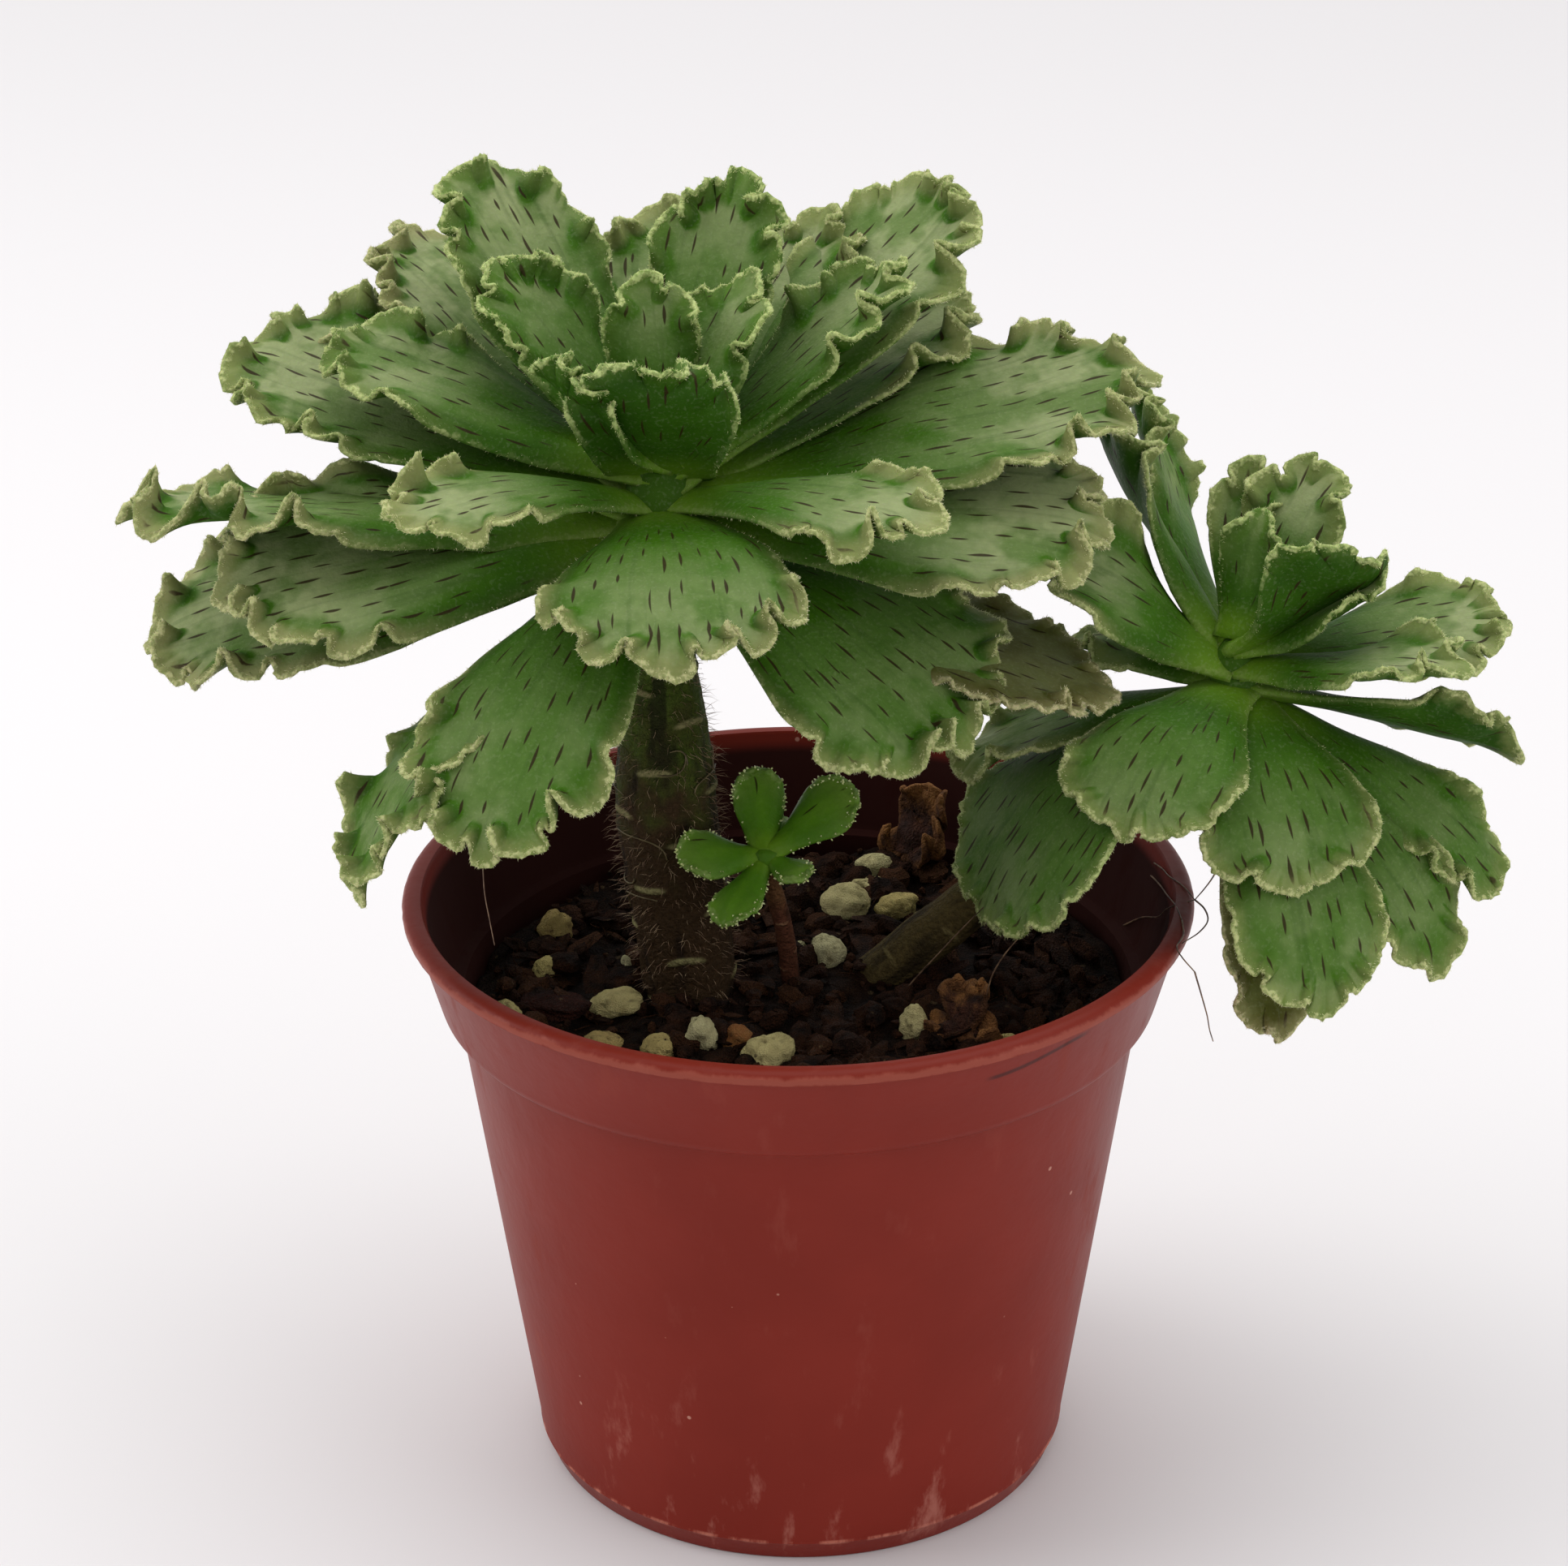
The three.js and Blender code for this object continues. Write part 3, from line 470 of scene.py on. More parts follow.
def gland_hairs(base, direction, length, radius, beads):
    """Slim pyramids, each from a triangle sunk in the leaf to a point, or with beads long double pyramids
    of three sides, widest at three quarters of their length."""
    direction = unit(direction)
    guide = np.where(np.abs(direction[:, 2:]) < 0.8, [[0, 0, 1.0]], [[1.0, 0, 0]])
    length, radius = length[:, None], radius[:, None]
    middle = base + direction * length * 0.75 if beads else base
    points = [middle + radius * spoke for spoke in spokes(direction, guide)] + [base + direction * length]
    if not beads:
        return repeated(np.stack(points, axis=1), [[0, 1, 3, 3], [1, 2, 3, 3], [2, 0, 3, 3], [0, 2, 1, 1]])
    pattern = [[0, 2, 1, 1], [0, 3, 2, 2], [0, 1, 3, 3], [4, 1, 2, 2], [4, 2, 3, 3], [4, 3, 1, 1]]
    return repeated(np.stack([base, *points], axis=1), pattern)


def hairs(base, direction, droop, length, radius):
    """Bent hairs of three sides: a root, a knee turned by droop at 0.55 of the length, and a point."""
    direction = unit(direction)
    length, radius = length[:, None], radius[:, None]
    knee = base + direction * length * 0.55
    tip = knee + unit(direction + droop) * length * 0.5
    ring = spokes(direction, droop + np.array([0.01, 0.02, 0.03]))
    points = [base + radius * spoke for spoke in ring] + [knee + 0.7 * radius * spoke for spoke in ring]
    pattern = [[0, 1, 4, 3], [1, 2, 5, 4], [2, 0, 3, 5], [3, 4, 6, 6], [4, 5, 6, 6], [5, 3, 6, 6]]
    return repeated(np.stack([*points, tip], axis=1), [*pattern, [0, 2, 1, 1]])


# Leaves


def outline_at(s, stalk=STALK_SHARE):
    """Half of the leaf's outline from its root at s = 0 to its tip at s = 1, as shares of length and width.

    The stalk widens by (3u^2 - 2u^3)^1.15 into the blade, and the end is a quarter of a rounded arc.
    """
    u = clamp(s / SIDE_SHARE)
    side_y = stalk + (1 - stalk) * (u * u * (3 - 2 * u)) ** 1.15
    angle = clamp((1 - s) / (1 - SIDE_SHARE)) * TAU / 4
    end_x = WIDEST_AT + (1 - WIDEST_AT) * np.cos(angle)
    on_side = s <= SIDE_SHARE
    return np.where(on_side, WIDEST_AT * u, end_x), np.where(on_side, side_y, np.sin(angle) ** 0.85)


def long_waves(s, side, half_waves, seed, height):
    """The large waves of a margin: crests and troughs of the CAD leaf, joined by 3t^2 - 2t^3."""
    station = np.arange(half_waves + 1)
    k = station if side > 0 else 2 * half_waves - station
    ramp = np.minimum(station / half_waves * (1 - WAVES_FROM) / 0.25, 1)
    value = np.where(k % 2 == 0, 1, -1) * (0.5 + 0.9 * scatter(k, seed)) * ramp * height
    value[0] = 0
    place = clamp((s - WAVES_FROM) / (1 - WAVES_FROM)) * half_waves
    j = np.minimum(place.astype(int), half_waves - 1)
    t = place - j
    t = t * t * (3 - 2 * t)
    return value[j] * (1 - t) + value[j + 1] * t


def margin_folds(place, seed, pitch, ruffle):
    """The pinched folds of a margin, summed at places measured along it from the tip.

    They stand pitch (0.5 + s) apart, s from 0 to 1. With t the distance from a fold's middle in half widths
    w, a fold of height h lifts by h exp(-|t|^2.3) and pinches by 0.7 w h exp(-((|t| - 1.2) / 0.55)^2)
    towards its middle, with h at most 1.2 there. The third sum, of exp(-(t / 2)^2) and at most 1, tells
    folds from the lobes between them.
    """
    count = int(160 / pitch)
    number = np.arange(count)
    middle = np.cumsum(pitch * (0.5 + scatter(number, seed + 0.3))) - count * pitch / 2
    half = 0.85 + 0.75 * scatter(number, seed + 0.7)
    high = ruffle * (0.5 + 1.25 * scatter(number, seed + 1.1))
    t = (place[:, None] - middle) / half
    pinch = 0.7 * half * np.minimum(high, 1.2) * np.exp(-(((np.abs(t) - 1.2) / 0.55) ** 2))
    lift = (high * np.exp(-(np.abs(t) ** 2.3))).sum(-1)
    return lift, (-np.sign(t) * pinch).sum(-1), np.minimum(np.exp(-((t / 2) ** 2)).sum(-1), 1)


def leaf_shape(row, seed, root, spacing, pitch, tip, crumple=0.0, ruffle=None):
    """One closed leaf as two faces and a rounded rim.

    Along a midrib that bends evenly, a place (s, r) of the blade lies at the outline's x (0.8 + 0.2 r) and
    y r. Its sides roll down towards the stalk, and its outer few millimetres carry the large waves, the
    pinched folds with drooping lobes between them, fine crinkles and small nibbles. Both faces stand off
    that sheet along its normal by half the thickness. It gives back the shape and its margin: points,
    normals, outward directions, shares of the outline, and age.
    """
    azimuth, elevation, bend, length, width, turn, cup, height, _, half_waves, age = row
    # Rows, even along the margin, and rings across the blade
    ruffle = max(0.35, 1.75 * (height - 0.6)) if ruffle is None else ruffle
    stalk = STALK_SHARE + 0.3 * clamp((elevation - 42) / 14)
    dense = np.linspace(0, 1, 600)
    dense_x, dense_y = outline_at(dense, stalk)
    margin = np.hypot(np.diff(dense_x) * length, np.diff(dense_y) * width / 2)
    margin = np.concatenate([[0], np.cumsum(margin)])
    blade_from = np.interp(BLADE_FROM, dense, margin)
    count = max(int((margin[-1] - blade_from) / spacing), 12)
    stalk_rows = np.linspace(0, blade_from, 9)[:-1]
    reach_out = np.concatenate([stalk_rows, np.linspace(blade_from, margin[-1], count)])
    s = np.interp(reach_out, margin, dense)
    s[-1] = 1
    to_tip = margin[-1] - reach_out
    mx, my = outline_at(s, stalk)
    my[-1] = 0
    r = np.concatenate([-LEAF_RINGS[:0:-1], LEAF_RINGS])
    centre = len(LEAF_RINGS) - 1
    side = np.where(r < 0, -1.0, 1.0)
    ring = np.abs(r)
    x = mx[:, None] * (MIDRIB_REACH + (1 - MIDRIB_REACH) * ring)
    y = my[:, None] * width / 2 * r
    extent = np.hypot((1 - MIDRIB_REACH) * mx * length, my * width / 2)[:, None]
    band_from = np.clip(1 - FOLD_BAND / extent, 0.3, 0.85)
    band = clamp((ring - band_from) / (1 - band_from)) ** 1.5
    start = 0.46 + 0.1 * np.where(side > 0, scatter(seed, 41), scatter(seed, 42))
    ramp = clamp((s[:, None] - start) / 0.18)

    # The relief: how far each place is lifted, pushed outward and shifted along the margin
    signed = to_tip[:, None] * side
    large, lift, shift, folded = np.zeros((4, *signed.shape))
    for sign in (-1, 1):
        half_blade = side == sign
        large[:, half_blade] = long_waves(s, sign, half_waves, seed, height)[:, None]
        folds = margin_folds(to_tip * sign, seed, pitch, ruffle)
        for layer, sums in zip((lift, shift, folded), folds):
            layer[:, half_blade] = sums[:, None]
    lift, shift = lift * ramp, shift * ramp * band
    lobe = (1 - folded) * ramp * min(ruffle, 1)
    ripple = TAU * signed / 1.7 + 4 * noise_along(signed / 3, seed + 5)
    crinkle = (0.14 + 0.1 * ruffle) * np.sin(ripple) * ramp * (0.9 + 0.9 * noise_along(signed / 4, seed + 9))
    outward = (0.65 * lobe - 0.9 * lift - 0.15 * np.abs(large)) * band + 0.8 * crinkle * np.cos(ripple) * band
    nibble = 0.2 * noise_along(signed * 1.1, seed + 17) + 0.14 * noise_along(signed * 2.1, seed + 23)
    outward = outward + nibble * ramp * ring**6 * min(2 * ruffle, 1)
    outward = outward + tip * np.exp(-((to_tip / 1.5) ** 2))[:, None] * ring**3
    roll = np.where(signed > 0, scatter(seed, 31), scatter(seed, 32)) * 0.13 * width
    roll = roll * ring**3 * clamp(x / 0.3) * clamp((0.85 - x) / 0.35)
    lift = lift * band - 0.7 * lobe * band + crinkle * band**2 + 0.75 * large * ring**5 - roll
    lift = lift + cup * y * y * np.minimum(1.5 * x, 1) / (width / 2)
    wander = pack(x * length / 13, y / 13, 0 * x + seed)
    uneven = 0.7 * value_noise(wander, seed) + 0.3 * value_noise(wander * 2.3, seed + 3)
    lift = lift + uneven * clamp(2 * x)
    if crumple:
        lift = lift + crumple * fractal_noise(wander * 5.5, 3, seed) * clamp(3 * x)

    # The sheet round its bent and twisted midrib
    heading = np.radians(azimuth)
    steps = np.linspace(0, 1, SPINE_STEPS + 1)
    slopes = np.radians(elevation + bend * (1 - steps[1:] - steps[:-1]))
    run = np.concatenate([[0], np.cumsum(np.cos(slopes))]) * length / SPINE_STEPS
    rise = np.concatenate([[0], np.cumsum(np.sin(slopes))]) * length / SPINE_STEPS
    ahead = np.array([np.cos(heading), np.sin(heading), 0])
    up = np.array([0, 0, 1.0])
    point = np.interp(x, steps, run)[..., None] * ahead + np.interp(x, steps, rise)[..., None] * up + root
    slope = np.radians(elevation + bend * (1 - 2 * x))[..., None]
    along = np.cos(slope) * ahead + np.sin(slope) * up
    flat = np.array([-np.sin(heading), np.cos(heading), 0])
    twist = (np.radians(turn) * (0.35 + 0.65 * np.minimum(1.6 * x, 1)))[..., None]
    across = np.cos(twist) * flat + np.sin(twist) * np.cross(along, flat)
    normal = np.cross(along, across)
    out_a = (1 - MIDRIB_REACH) * mx[:, None] * length + 0 * y
    out_b = my[:, None] * width / 2 * side
    size = np.hypot(out_a, out_b) + 1e-9
    out_a, out_b = (out_a / size)[..., None], (out_b / size)[..., None]
    sheet = (
        point
        + across * y[..., None]
        + normal * lift[..., None]
        + (along * out_a + across * out_b) * outward[..., None]
        + (across * out_a - along * out_b) * shift[..., None]
    )

    # Both faces, and a rim of two strips on each side
    facing = unit(np.cross(np.gradient(sheet, axis=0), np.gradient(sheet, axis=1)))
    facing[-1] = unit(facing[-1] + facing[-1, ::-1])
    facing[-1, centre] = facing[-2, centre]
    half = (THICKNESS - THINNER * ring**1.6 + THICKER * clamp(1 - x / 0.35)) / 2
    top = sheet + facing * half[..., None]
    bottom = sheet - facing * half[..., None]

    count = len(s)
    columns = len(r)
    top_index = np.arange(count * columns).reshape(count, columns)
    bottom_index = top_index + count * columns
    rims, rim_points, margins = [], [], []
    for edge, inner in ((columns - 1, columns - 2), (0, 1)):
        out = unit(sheet[:, edge] - sheet[:, inner])
        thick = half[:, edge][:, None]
        for angle in (TAU / 6, TAU / 3):
            rim_points.append(
                sheet[:, edge] + thick * (facing[:, edge] * np.cos(angle) + out * 1.15 * np.sin(angle))
            )
        margins.append((sheet[:, edge] + 0.7 * thick * out, facing[:, edge], out))
        first = np.arange(count) + 2 * count * (columns + len(rims))
        rims.append([top_index[:, edge], first, first + count, bottom_index[:, edge]])
    for index in (top_index, bottom_index):
        index[-1, :centre] = index[-1, :centre:-1]
    for k in range(4):
        rims[1][k][-1] = rims[0][k][-1]
    plus = np.stack(rims[0], axis=1)
    minus = np.stack(rims[1], axis=1)
    cap = np.stack([top_index[0], bottom_index[0]])
    faces = [
        grid_faces(top_index),
        grid_faces(bottom_index, flip=True),
        grid_faces(plus),
        grid_faces(minus, flip=True),
        grid_faces(cap, flip=True),
        plus[0][None],
        minus[0, ::-1][None],
    ]

    # What the finish reads: nearness to the edge, place along, face, steepness, age, the share of painted
    # sheen and a chart
    edge = clamp(1 - (1 - ring) * extent / 4)
    steep = np.sqrt(2 * clamp(1 - (facing * normal).sum(-1)))
    # Painted sheen: its share is larger on leaves that rise and so face the light from above, and differs a
    # little from leaf to leaf
    sheen_share = np.clip(1 + (elevation - bend + 12) / 42, 0.34, 1) * (0.85 + 0.3 * scatter(seed, 11))
    fan = outline_at(np.minimum(x / WIDEST_AT, 1) * SIDE_SHARE)[1] + 0.35 * np.maximum(x - WIDEST_AT, 0)
    chart = pack(y / fan + 41.7 * seed, x * length + 23.9 * seed)
    zone = pack(edge, x, 1 + 0 * x)
    state = pack(steep, age + 0 * x, sheen_share + 0 * x)

    def whole(upper, lower):
        """A layer of both faces, and of the two strips of the rim on each side."""
        strips = [layer[:, column] for column in (-1, 0) for layer in (upper, lower)]
        return np.concatenate([layer.reshape(-1, layer.shape[-1]) for layer in (upper, lower, *strips)])

    shape = {
        "points": np.concatenate([top.reshape(-1, 3), bottom.reshape(-1, 3), *rim_points]),
        "faces": np.concatenate(faces),
        "zone": whole(zone, zone * [1, 1, 0]),
        "state": whole(state, state),
        "uv": whole(chart, chart),
    }
    border = [np.concatenate([plus_side, minus_side[-2::-1]]) for plus_side, minus_side in zip(*margins)]
    shares = np.concatenate([s, s[-2::-1]])
    return shape, (*border, shares, age)


def margin_hairs(border, density, long, thick, stalk_share, beads):
    """Gland hairs on a margin, at random places round its rim, pointing out or to either face.

    At the turn u from -1 to 1 a hair leans out by cos 1.3 u and along the leaf's normal by sin 1.3 u.
    """
    place, facing, out, shares, age = border
    run = travelled(place)
    count = int(run[-1] * density)
    at = np.sort(rng.uniform(0, run[-1], count))
    on_stalk = np.interp(at, run, shares) < 0.5
    at = at[~on_stalk | (rng.uniform(size=count) < stalk_share)]
    count = len(at)
    facing, out, forward = (unit(sample(at, run, t)) for t in (facing, out, np.gradient(place, axis=0)))
    u = rng.uniform(-1, 1, (count, 1))
    direction = out * np.cos(1.3 * u) + facing * np.sin(1.3 * u) + rng.normal(0, 0.3, (count, 1)) * forward
    sunk = clamp(np.abs(u) - 0.4)
    base = sample(at, run, place) + 0.2 * facing * np.sin(1.57 * u) - (0.12 + 1.2 * sunk) * out
    size = long * rng.uniform(0.55, 1.3, count) + 0.1
    shape = gland_hairs(base, direction, size, thick * rng.uniform(0.7, 1.2, count), beads)
    hue = pack(age + 0 * size, rng.uniform(size=count), np.interp(at, run, shares))
    shape["tone"] = np.repeat(hue, len(shape["points"]) // max(count, 1), axis=0)
    return shape


# Grains, clods and litter


def soil_height(x, y):
    """The height of the soil: low knolls, a little higher towards the right and round the side stem."""
    knolls = np.sin(0.31 * x + 1.3) * np.cos(0.27 * y - 0.4) + 0.6 * np.sin(0.52 * x - 0.47 * y)
    mound = 1.6 * np.exp(-(((x - 8.8) / 3.2) ** 2) - ((y - 3.3) / 3) ** 2)
    return SOIL_HEIGHT + SOIL_RELIEF * 0.5 * knolls + 0.012 * x + mound


def inner_wall(z):
    """The pot's inner radius at a height below its shoulder."""
    share = (z - BASE_CHAMFER_HEIGHT) / (SHOULDER_HEIGHT - BASE_CHAMFER_HEIGHT)
    return BASE_RADIUS - POT_WALL + (SHOULDER_RADIUS - BASE_RADIUS) * share


def ball(bands, around):
    """A unit ball: points (sin b cos a, sin b sin a, cos b), with one vertex at each pole."""
    b = np.linspace(0, np.pi, bands + 1)
    a = np.arange(around) * TAU / around
    parts = ((np.sin(b), np.cos(a)), (np.sin(b), np.sin(a)), (np.cos(b), a * 0 + 1))
    points = pack(*(np.outer(*part) for part in parts))
    return points.reshape(-1, 3), grid_faces(round_grid(bands + 1, around, [0, -1]))


def grain(row, seed, bands=26, around=40):
    """A pumice grain: a ball drawn out to its three half sizes, lumpy, with creases where a broad noise is
    near nought and a few shallow pits."""
    x, y, half_x, half_y, half_z, turn, warmth = row
    points, faces = ball(bands, around)
    lumps = np.sin(3.1 * points[:, 0] + seed) + np.sin(2.7 * points[:, 1] + 1.9 * seed)
    lumps = (lumps + np.sin(3.4 * points[:, 2] - seed)) / 3
    creases = np.exp(-((value_noise(points * 1.3, seed) / 0.12) ** 2))
    rough = 0.4 * fractal_noise(points * 1.1, 4, seed) - 0.05 * creases
    dips = value_noise(points * 4.2, seed + 50)
    pits = clamp(dips - 0.45) * -0.3
    blocky = (np.abs(points) ** 3).sum(-1) ** (-1 / 3)
    points = points * (0.72 + 0.28 * blocky + 0.06 * lumps + rough + pits)[:, None] * [half_x, half_y, half_z]
    c, s = np.cos(np.radians(turn)), np.sin(np.radians(turn))
    points = points @ np.array([[c, s, 0], [-s, c, 0], [0, 0, 1]])
    points = points + [x, y, soil_height(x, y) + 0.55 * half_z]
    tone = pack(warmth + 0 * dips, clamp(dips * 2 - 0.6), 0.8 * creases)
    return {"points": points, "faces": faces, "tone": tone}


def clods(centre, half, seed, bands, around):
    """Many small angular lumps: each ball is drawn out to its half sizes, roughened and turned at random."""
    ball_points, ball_faces = ball(bands, around)
    count = len(centre)
    rough = value_noise(ball_points[None] * 1.7 + rng.uniform(0, 60, (count, 1, 3)), seed)
    points = ball_points[None] * (1 + 0.4 * rough)[..., None] * half[:, None]
    turn, tilt = rng.uniform(0, TAU, (2, count))
    lean = 0.5 * np.sin(tilt)
    cl, sl = np.cos(lean)[:, None], np.sin(lean)[:, None]
    ct, st = np.cos(turn)[:, None], np.sin(turn)[:, None]
    px, py, pz = points[..., 0], points[..., 1], points[..., 2]
    px, pz = px * cl - pz * sl, px * sl + pz * cl
    px, py = px * ct - py * st, px * st + py * ct
    points = pack(px, py, pz) + centre[:, None]
    hue = pack(rng.uniform(size=count), rng.uniform(size=count), 0 * turn)
    return {**repeated(points, ball_faces), "tone": np.repeat(hue, len(ball_points), axis=0)}


# Finishes


def tone(red, green, blue):
    """A linear colour from the three display values of 0 to 255."""
    shown = np.array([red, green, blue]) / 255
    linear = np.where(shown <= 0.04045, shown / 12.92, ((shown + 0.055) / 1.055) ** 2.4)
    return (*linear.tolist(), 1.0)


class Value:
    """One output of a node. Arithmetic on it adds a maths node to the same tree, and gives its output."""

    def __init__(self, shade, socket):
        self.shade, self.socket = shade, socket

    def __add__(self, other):
        return self.shade.calc("ADD", self, other)

    def __radd__(self, other):
        return self.shade.calc("ADD", other, self)

    def __sub__(self, other):
        return self.shade.calc("SUBTRACT", self, other)

    def __rsub__(self, other):
        return self.shade.calc("SUBTRACT", other, self)

    def __mul__(self, other):
        return self.shade.calc("MULTIPLY", self, other)

    def __truediv__(self, other):
        return self.shade.calc("DIVIDE", self, other)

    def __lt__(self, other):
        return self.shade.calc("LESS_THAN", self, other)

    def __abs__(self):
        return self.shade.calc("ABSOLUTE", self)

    def of(self, output):
        """Another output of the same node."""
        return Value(self.shade, self.socket.node.outputs[output])

    def mix(self, low, high):
        """The colour low where this is 0 and high where it is 1; three plain numbers are display values."""
        low, high = (tone(*c) if isinstance(c, tuple) and len(c) == 3 else c for c in (low, high))
        return self.shade.node("ShaderNodeMix", 2, {0: self, 6: low, 7: high}, data_type="RGBA")

    def span(self, start, end, low=0.0, high=1.0):
        """Goes smoothly from low to high as this goes from start to end."""
        inputs = {"Value": self, "From Min": start, "From Max": end, "To Min": low, "To Max": high}
        return self.shade.node("ShaderNodeMapRange", "Result", inputs, interpolation_type="SMOOTHSTEP")

    def split(self):
        """The three parts of a vector or colour."""
        first = self.shade.node("ShaderNodeSeparateXYZ", 0, {0: self})
        return first, first.of(1), first.of(2)

    def stretch(self, x, y, z=0.0):
        return self.shade.node("ShaderNodeMapping", "Vector", {"Vector": self, "Scale": (x, y, z)})


class Shade:
    """Adds nodes to one tree: each call makes a node, links or sets its inputs, and gives an output."""

    def __init__(self, tree):
        self.tree = tree

    def put(self, value, socket):
        """Links a value to a socket, or sets a plain number, vector or colour on it."""
        if isinstance(value, Value):
            self.tree.links.new(value.socket, socket)
        else:
            socket.default_value = value

    def node(self, kind, output, inputs=None, **settings):
        made = self.tree.nodes.new(kind)
        for key, value in settings.items():
            setattr(made, key, value)
        for key, value in (inputs or {}).items():
            self.put(value, made.inputs[key])
        return None if output is None else Value(self, made.outputs[output])

    def calc(self, operation, *values, clamp=False):
        return self.node("ShaderNodeMath", 0, dict(enumerate(values)), operation=operation, use_clamp=clamp)

    def noise(self, vector, scale, detail=3.0, roughness=0.5):
        inputs = {"Vector": vector, "Scale": scale, "Detail": detail, "Roughness": roughness}
        return self.node("ShaderNodeTexNoise", "Fac", inputs)

    def place(self):
        return self.node("ShaderNodeTexCoord", "Object")

    def chart(self):
        return self.node("ShaderNodeUVMap", 0, uv_map="surface")

    def layer(self, name):
        """The three parts of a vertex attribute."""
        return self.node("ShaderNodeAttribute", "Vector", attribute_name=name).split()

    def bump(self, height, distance, strength):
        inputs = {"Height": height, "Distance": distance, "Strength": strength}
        return self.node("ShaderNodeBump", "Normal", inputs)

    def use(self, group, **inputs):
        """Places a shader node group and gives its first output; inputs are named as in the group."""
        return self.node("ShaderNodeGroup", 0, inputs, node_tree=group)

    def mottle(self, scale):
        """The place, and the broad patches and the fine grain of the mottle effect there."""
        place = self.place()
        patches = self.use(MOTTLE, Vector=place, Scale=scale)
        return place, patches, patches.of("Grain")

    def specks(self, place, scale, share, size):
        return self.use(SPECKS, Vector=place, Scale=scale, Share=share, Size=size)

    def finish(self, colour, roughness, normal=None, specular=0.5, **plain):
        """Ends a material: its Principled BSDF gets the worked-out colour, roughness and normal, and each
        plain number is set on the shader's own socket."""
        inputs = self.tree.nodes["Principled BSDF"].inputs
        values = {"Base Color": colour, "Roughness": roughness, "Specular IOR Level": specular}
        values |= {key.replace("_", " "): value for key, value in plain.items()}
        for key, value in values.items():
            self.put(value, inputs[key])
        if normal:
            self.put(normal, inputs["Normal"])
        return self.material


def coats(colour, *layers):
    """A colour with coats laid over it, each a share from 0 to 1 and a colour."""
    for share, coat in layers:
        colour = share.mix(colour, coat)
    return colour


def blank(name):
    """The shade of a new material."""
    material = bpy.data.materials.new(name)
    material.use_nodes = True
    shade = Shade(material.node_tree)
    shade.material = material
    return shade


def effect(name, inputs, make):
    """A shader node group: make takes a shade and one value for each named input, and gives a dict of the
    outputs by name. Vectors are told by the name Vector."""
    tree = bpy.data.node_groups.new(name, "ShaderNodeTree")
    for label in inputs:
        kind = "NodeSocketVector" if label == "Vector" else "NodeSocketFloat"
        tree.interface.new_socket(label, in_out="INPUT", socket_type=kind)
    shade = Shade(tree)
    given = shade.node("NodeGroupInput", 0)
    results = make(shade, *(given.of(label) for label in inputs))
    for label in results:
        tree.interface.new_socket(label, in_out="OUTPUT", socket_type="NodeSocketFloat")
    shade.node("NodeGroupOutput", None, results)
    return tree


def mottle(shade, vector, scale):
    """Broad patches, and a grain eight times as fine, both from 0 to 1 round one half."""
    patches = shade.noise(vector, scale, 3.0, 0.55)
    fine = shade.noise(vector, scale * 8.0, 2.0, 0.6)
    return {"Patches": patches.span(0.25, 0.75), "Grain": fine.span(0.25, 0.75)}


def specks(shade, vector, scale, share, size):
    """Small round spots, one in each cell of a Voronoi pattern whose random number is under Share."""
    cells = shade.node("ShaderNodeTexVoronoi", "Distance", {"Vector": vector, "Scale": scale})
    luck, other, _ = cells.of("Color").split()
    spot = (cells / (size * (0.4 + other))).span(1.0, 0.6)
    return {"Mask": spot * (luck < share)}


def streaks(shade, vector, amount):
    """Short dark dashes along the second axis of a flat chart in millimetres, tapered at both ends.

    Each Voronoi cell, 2.2 by 4.8 mm, holds one dash if its random number is under Amount. A place is on it
    where |across| is under the half width times 1 less the square of the distance along to half length.
    """
    cell_x, cell_y = 2.2, 4.8
    chart = vector.stretch(1 / cell_x, 1 / cell_y)
    inputs = {"Vector": chart, "Scale": 1.0, "Randomness": 0.85}
    cells = shade.node("ShaderNodeTexVoronoi", "Color", inputs, voronoi_dimensions="2D")
    centres = {0: chart, 1: cells.of("Position")}
    off_x, off_y, _ = shade.node("ShaderNodeVectorMath", "Vector", centres, operation="SUBTRACT").split()
    luck, long, wide = cells.split()
    half_length = 0.8 + long * 1.1
    half_width = 0.15 + wide * 0.09
    along = off_y * cell_y / half_length
    bow = off_y * off_y * (wide - 0.5)
    across = abs(off_x * cell_x + bow * 3.0)
    taper = shade.calc("SUBTRACT", 1.0, along * along, clamp=True)
    inside = half_width * taper - across
    return {"Mask": inside.span(-0.02, 0.1) * (luck < amount)}


MOTTLE = effect("mottle", ["Vector", "Scale"], mottle)
SPECKS = effect("specks", ["Vector", "Scale", "Share", "Size"], specks)
STREAKS = effect("streaks", ["Vector", "Amount"], streaks)


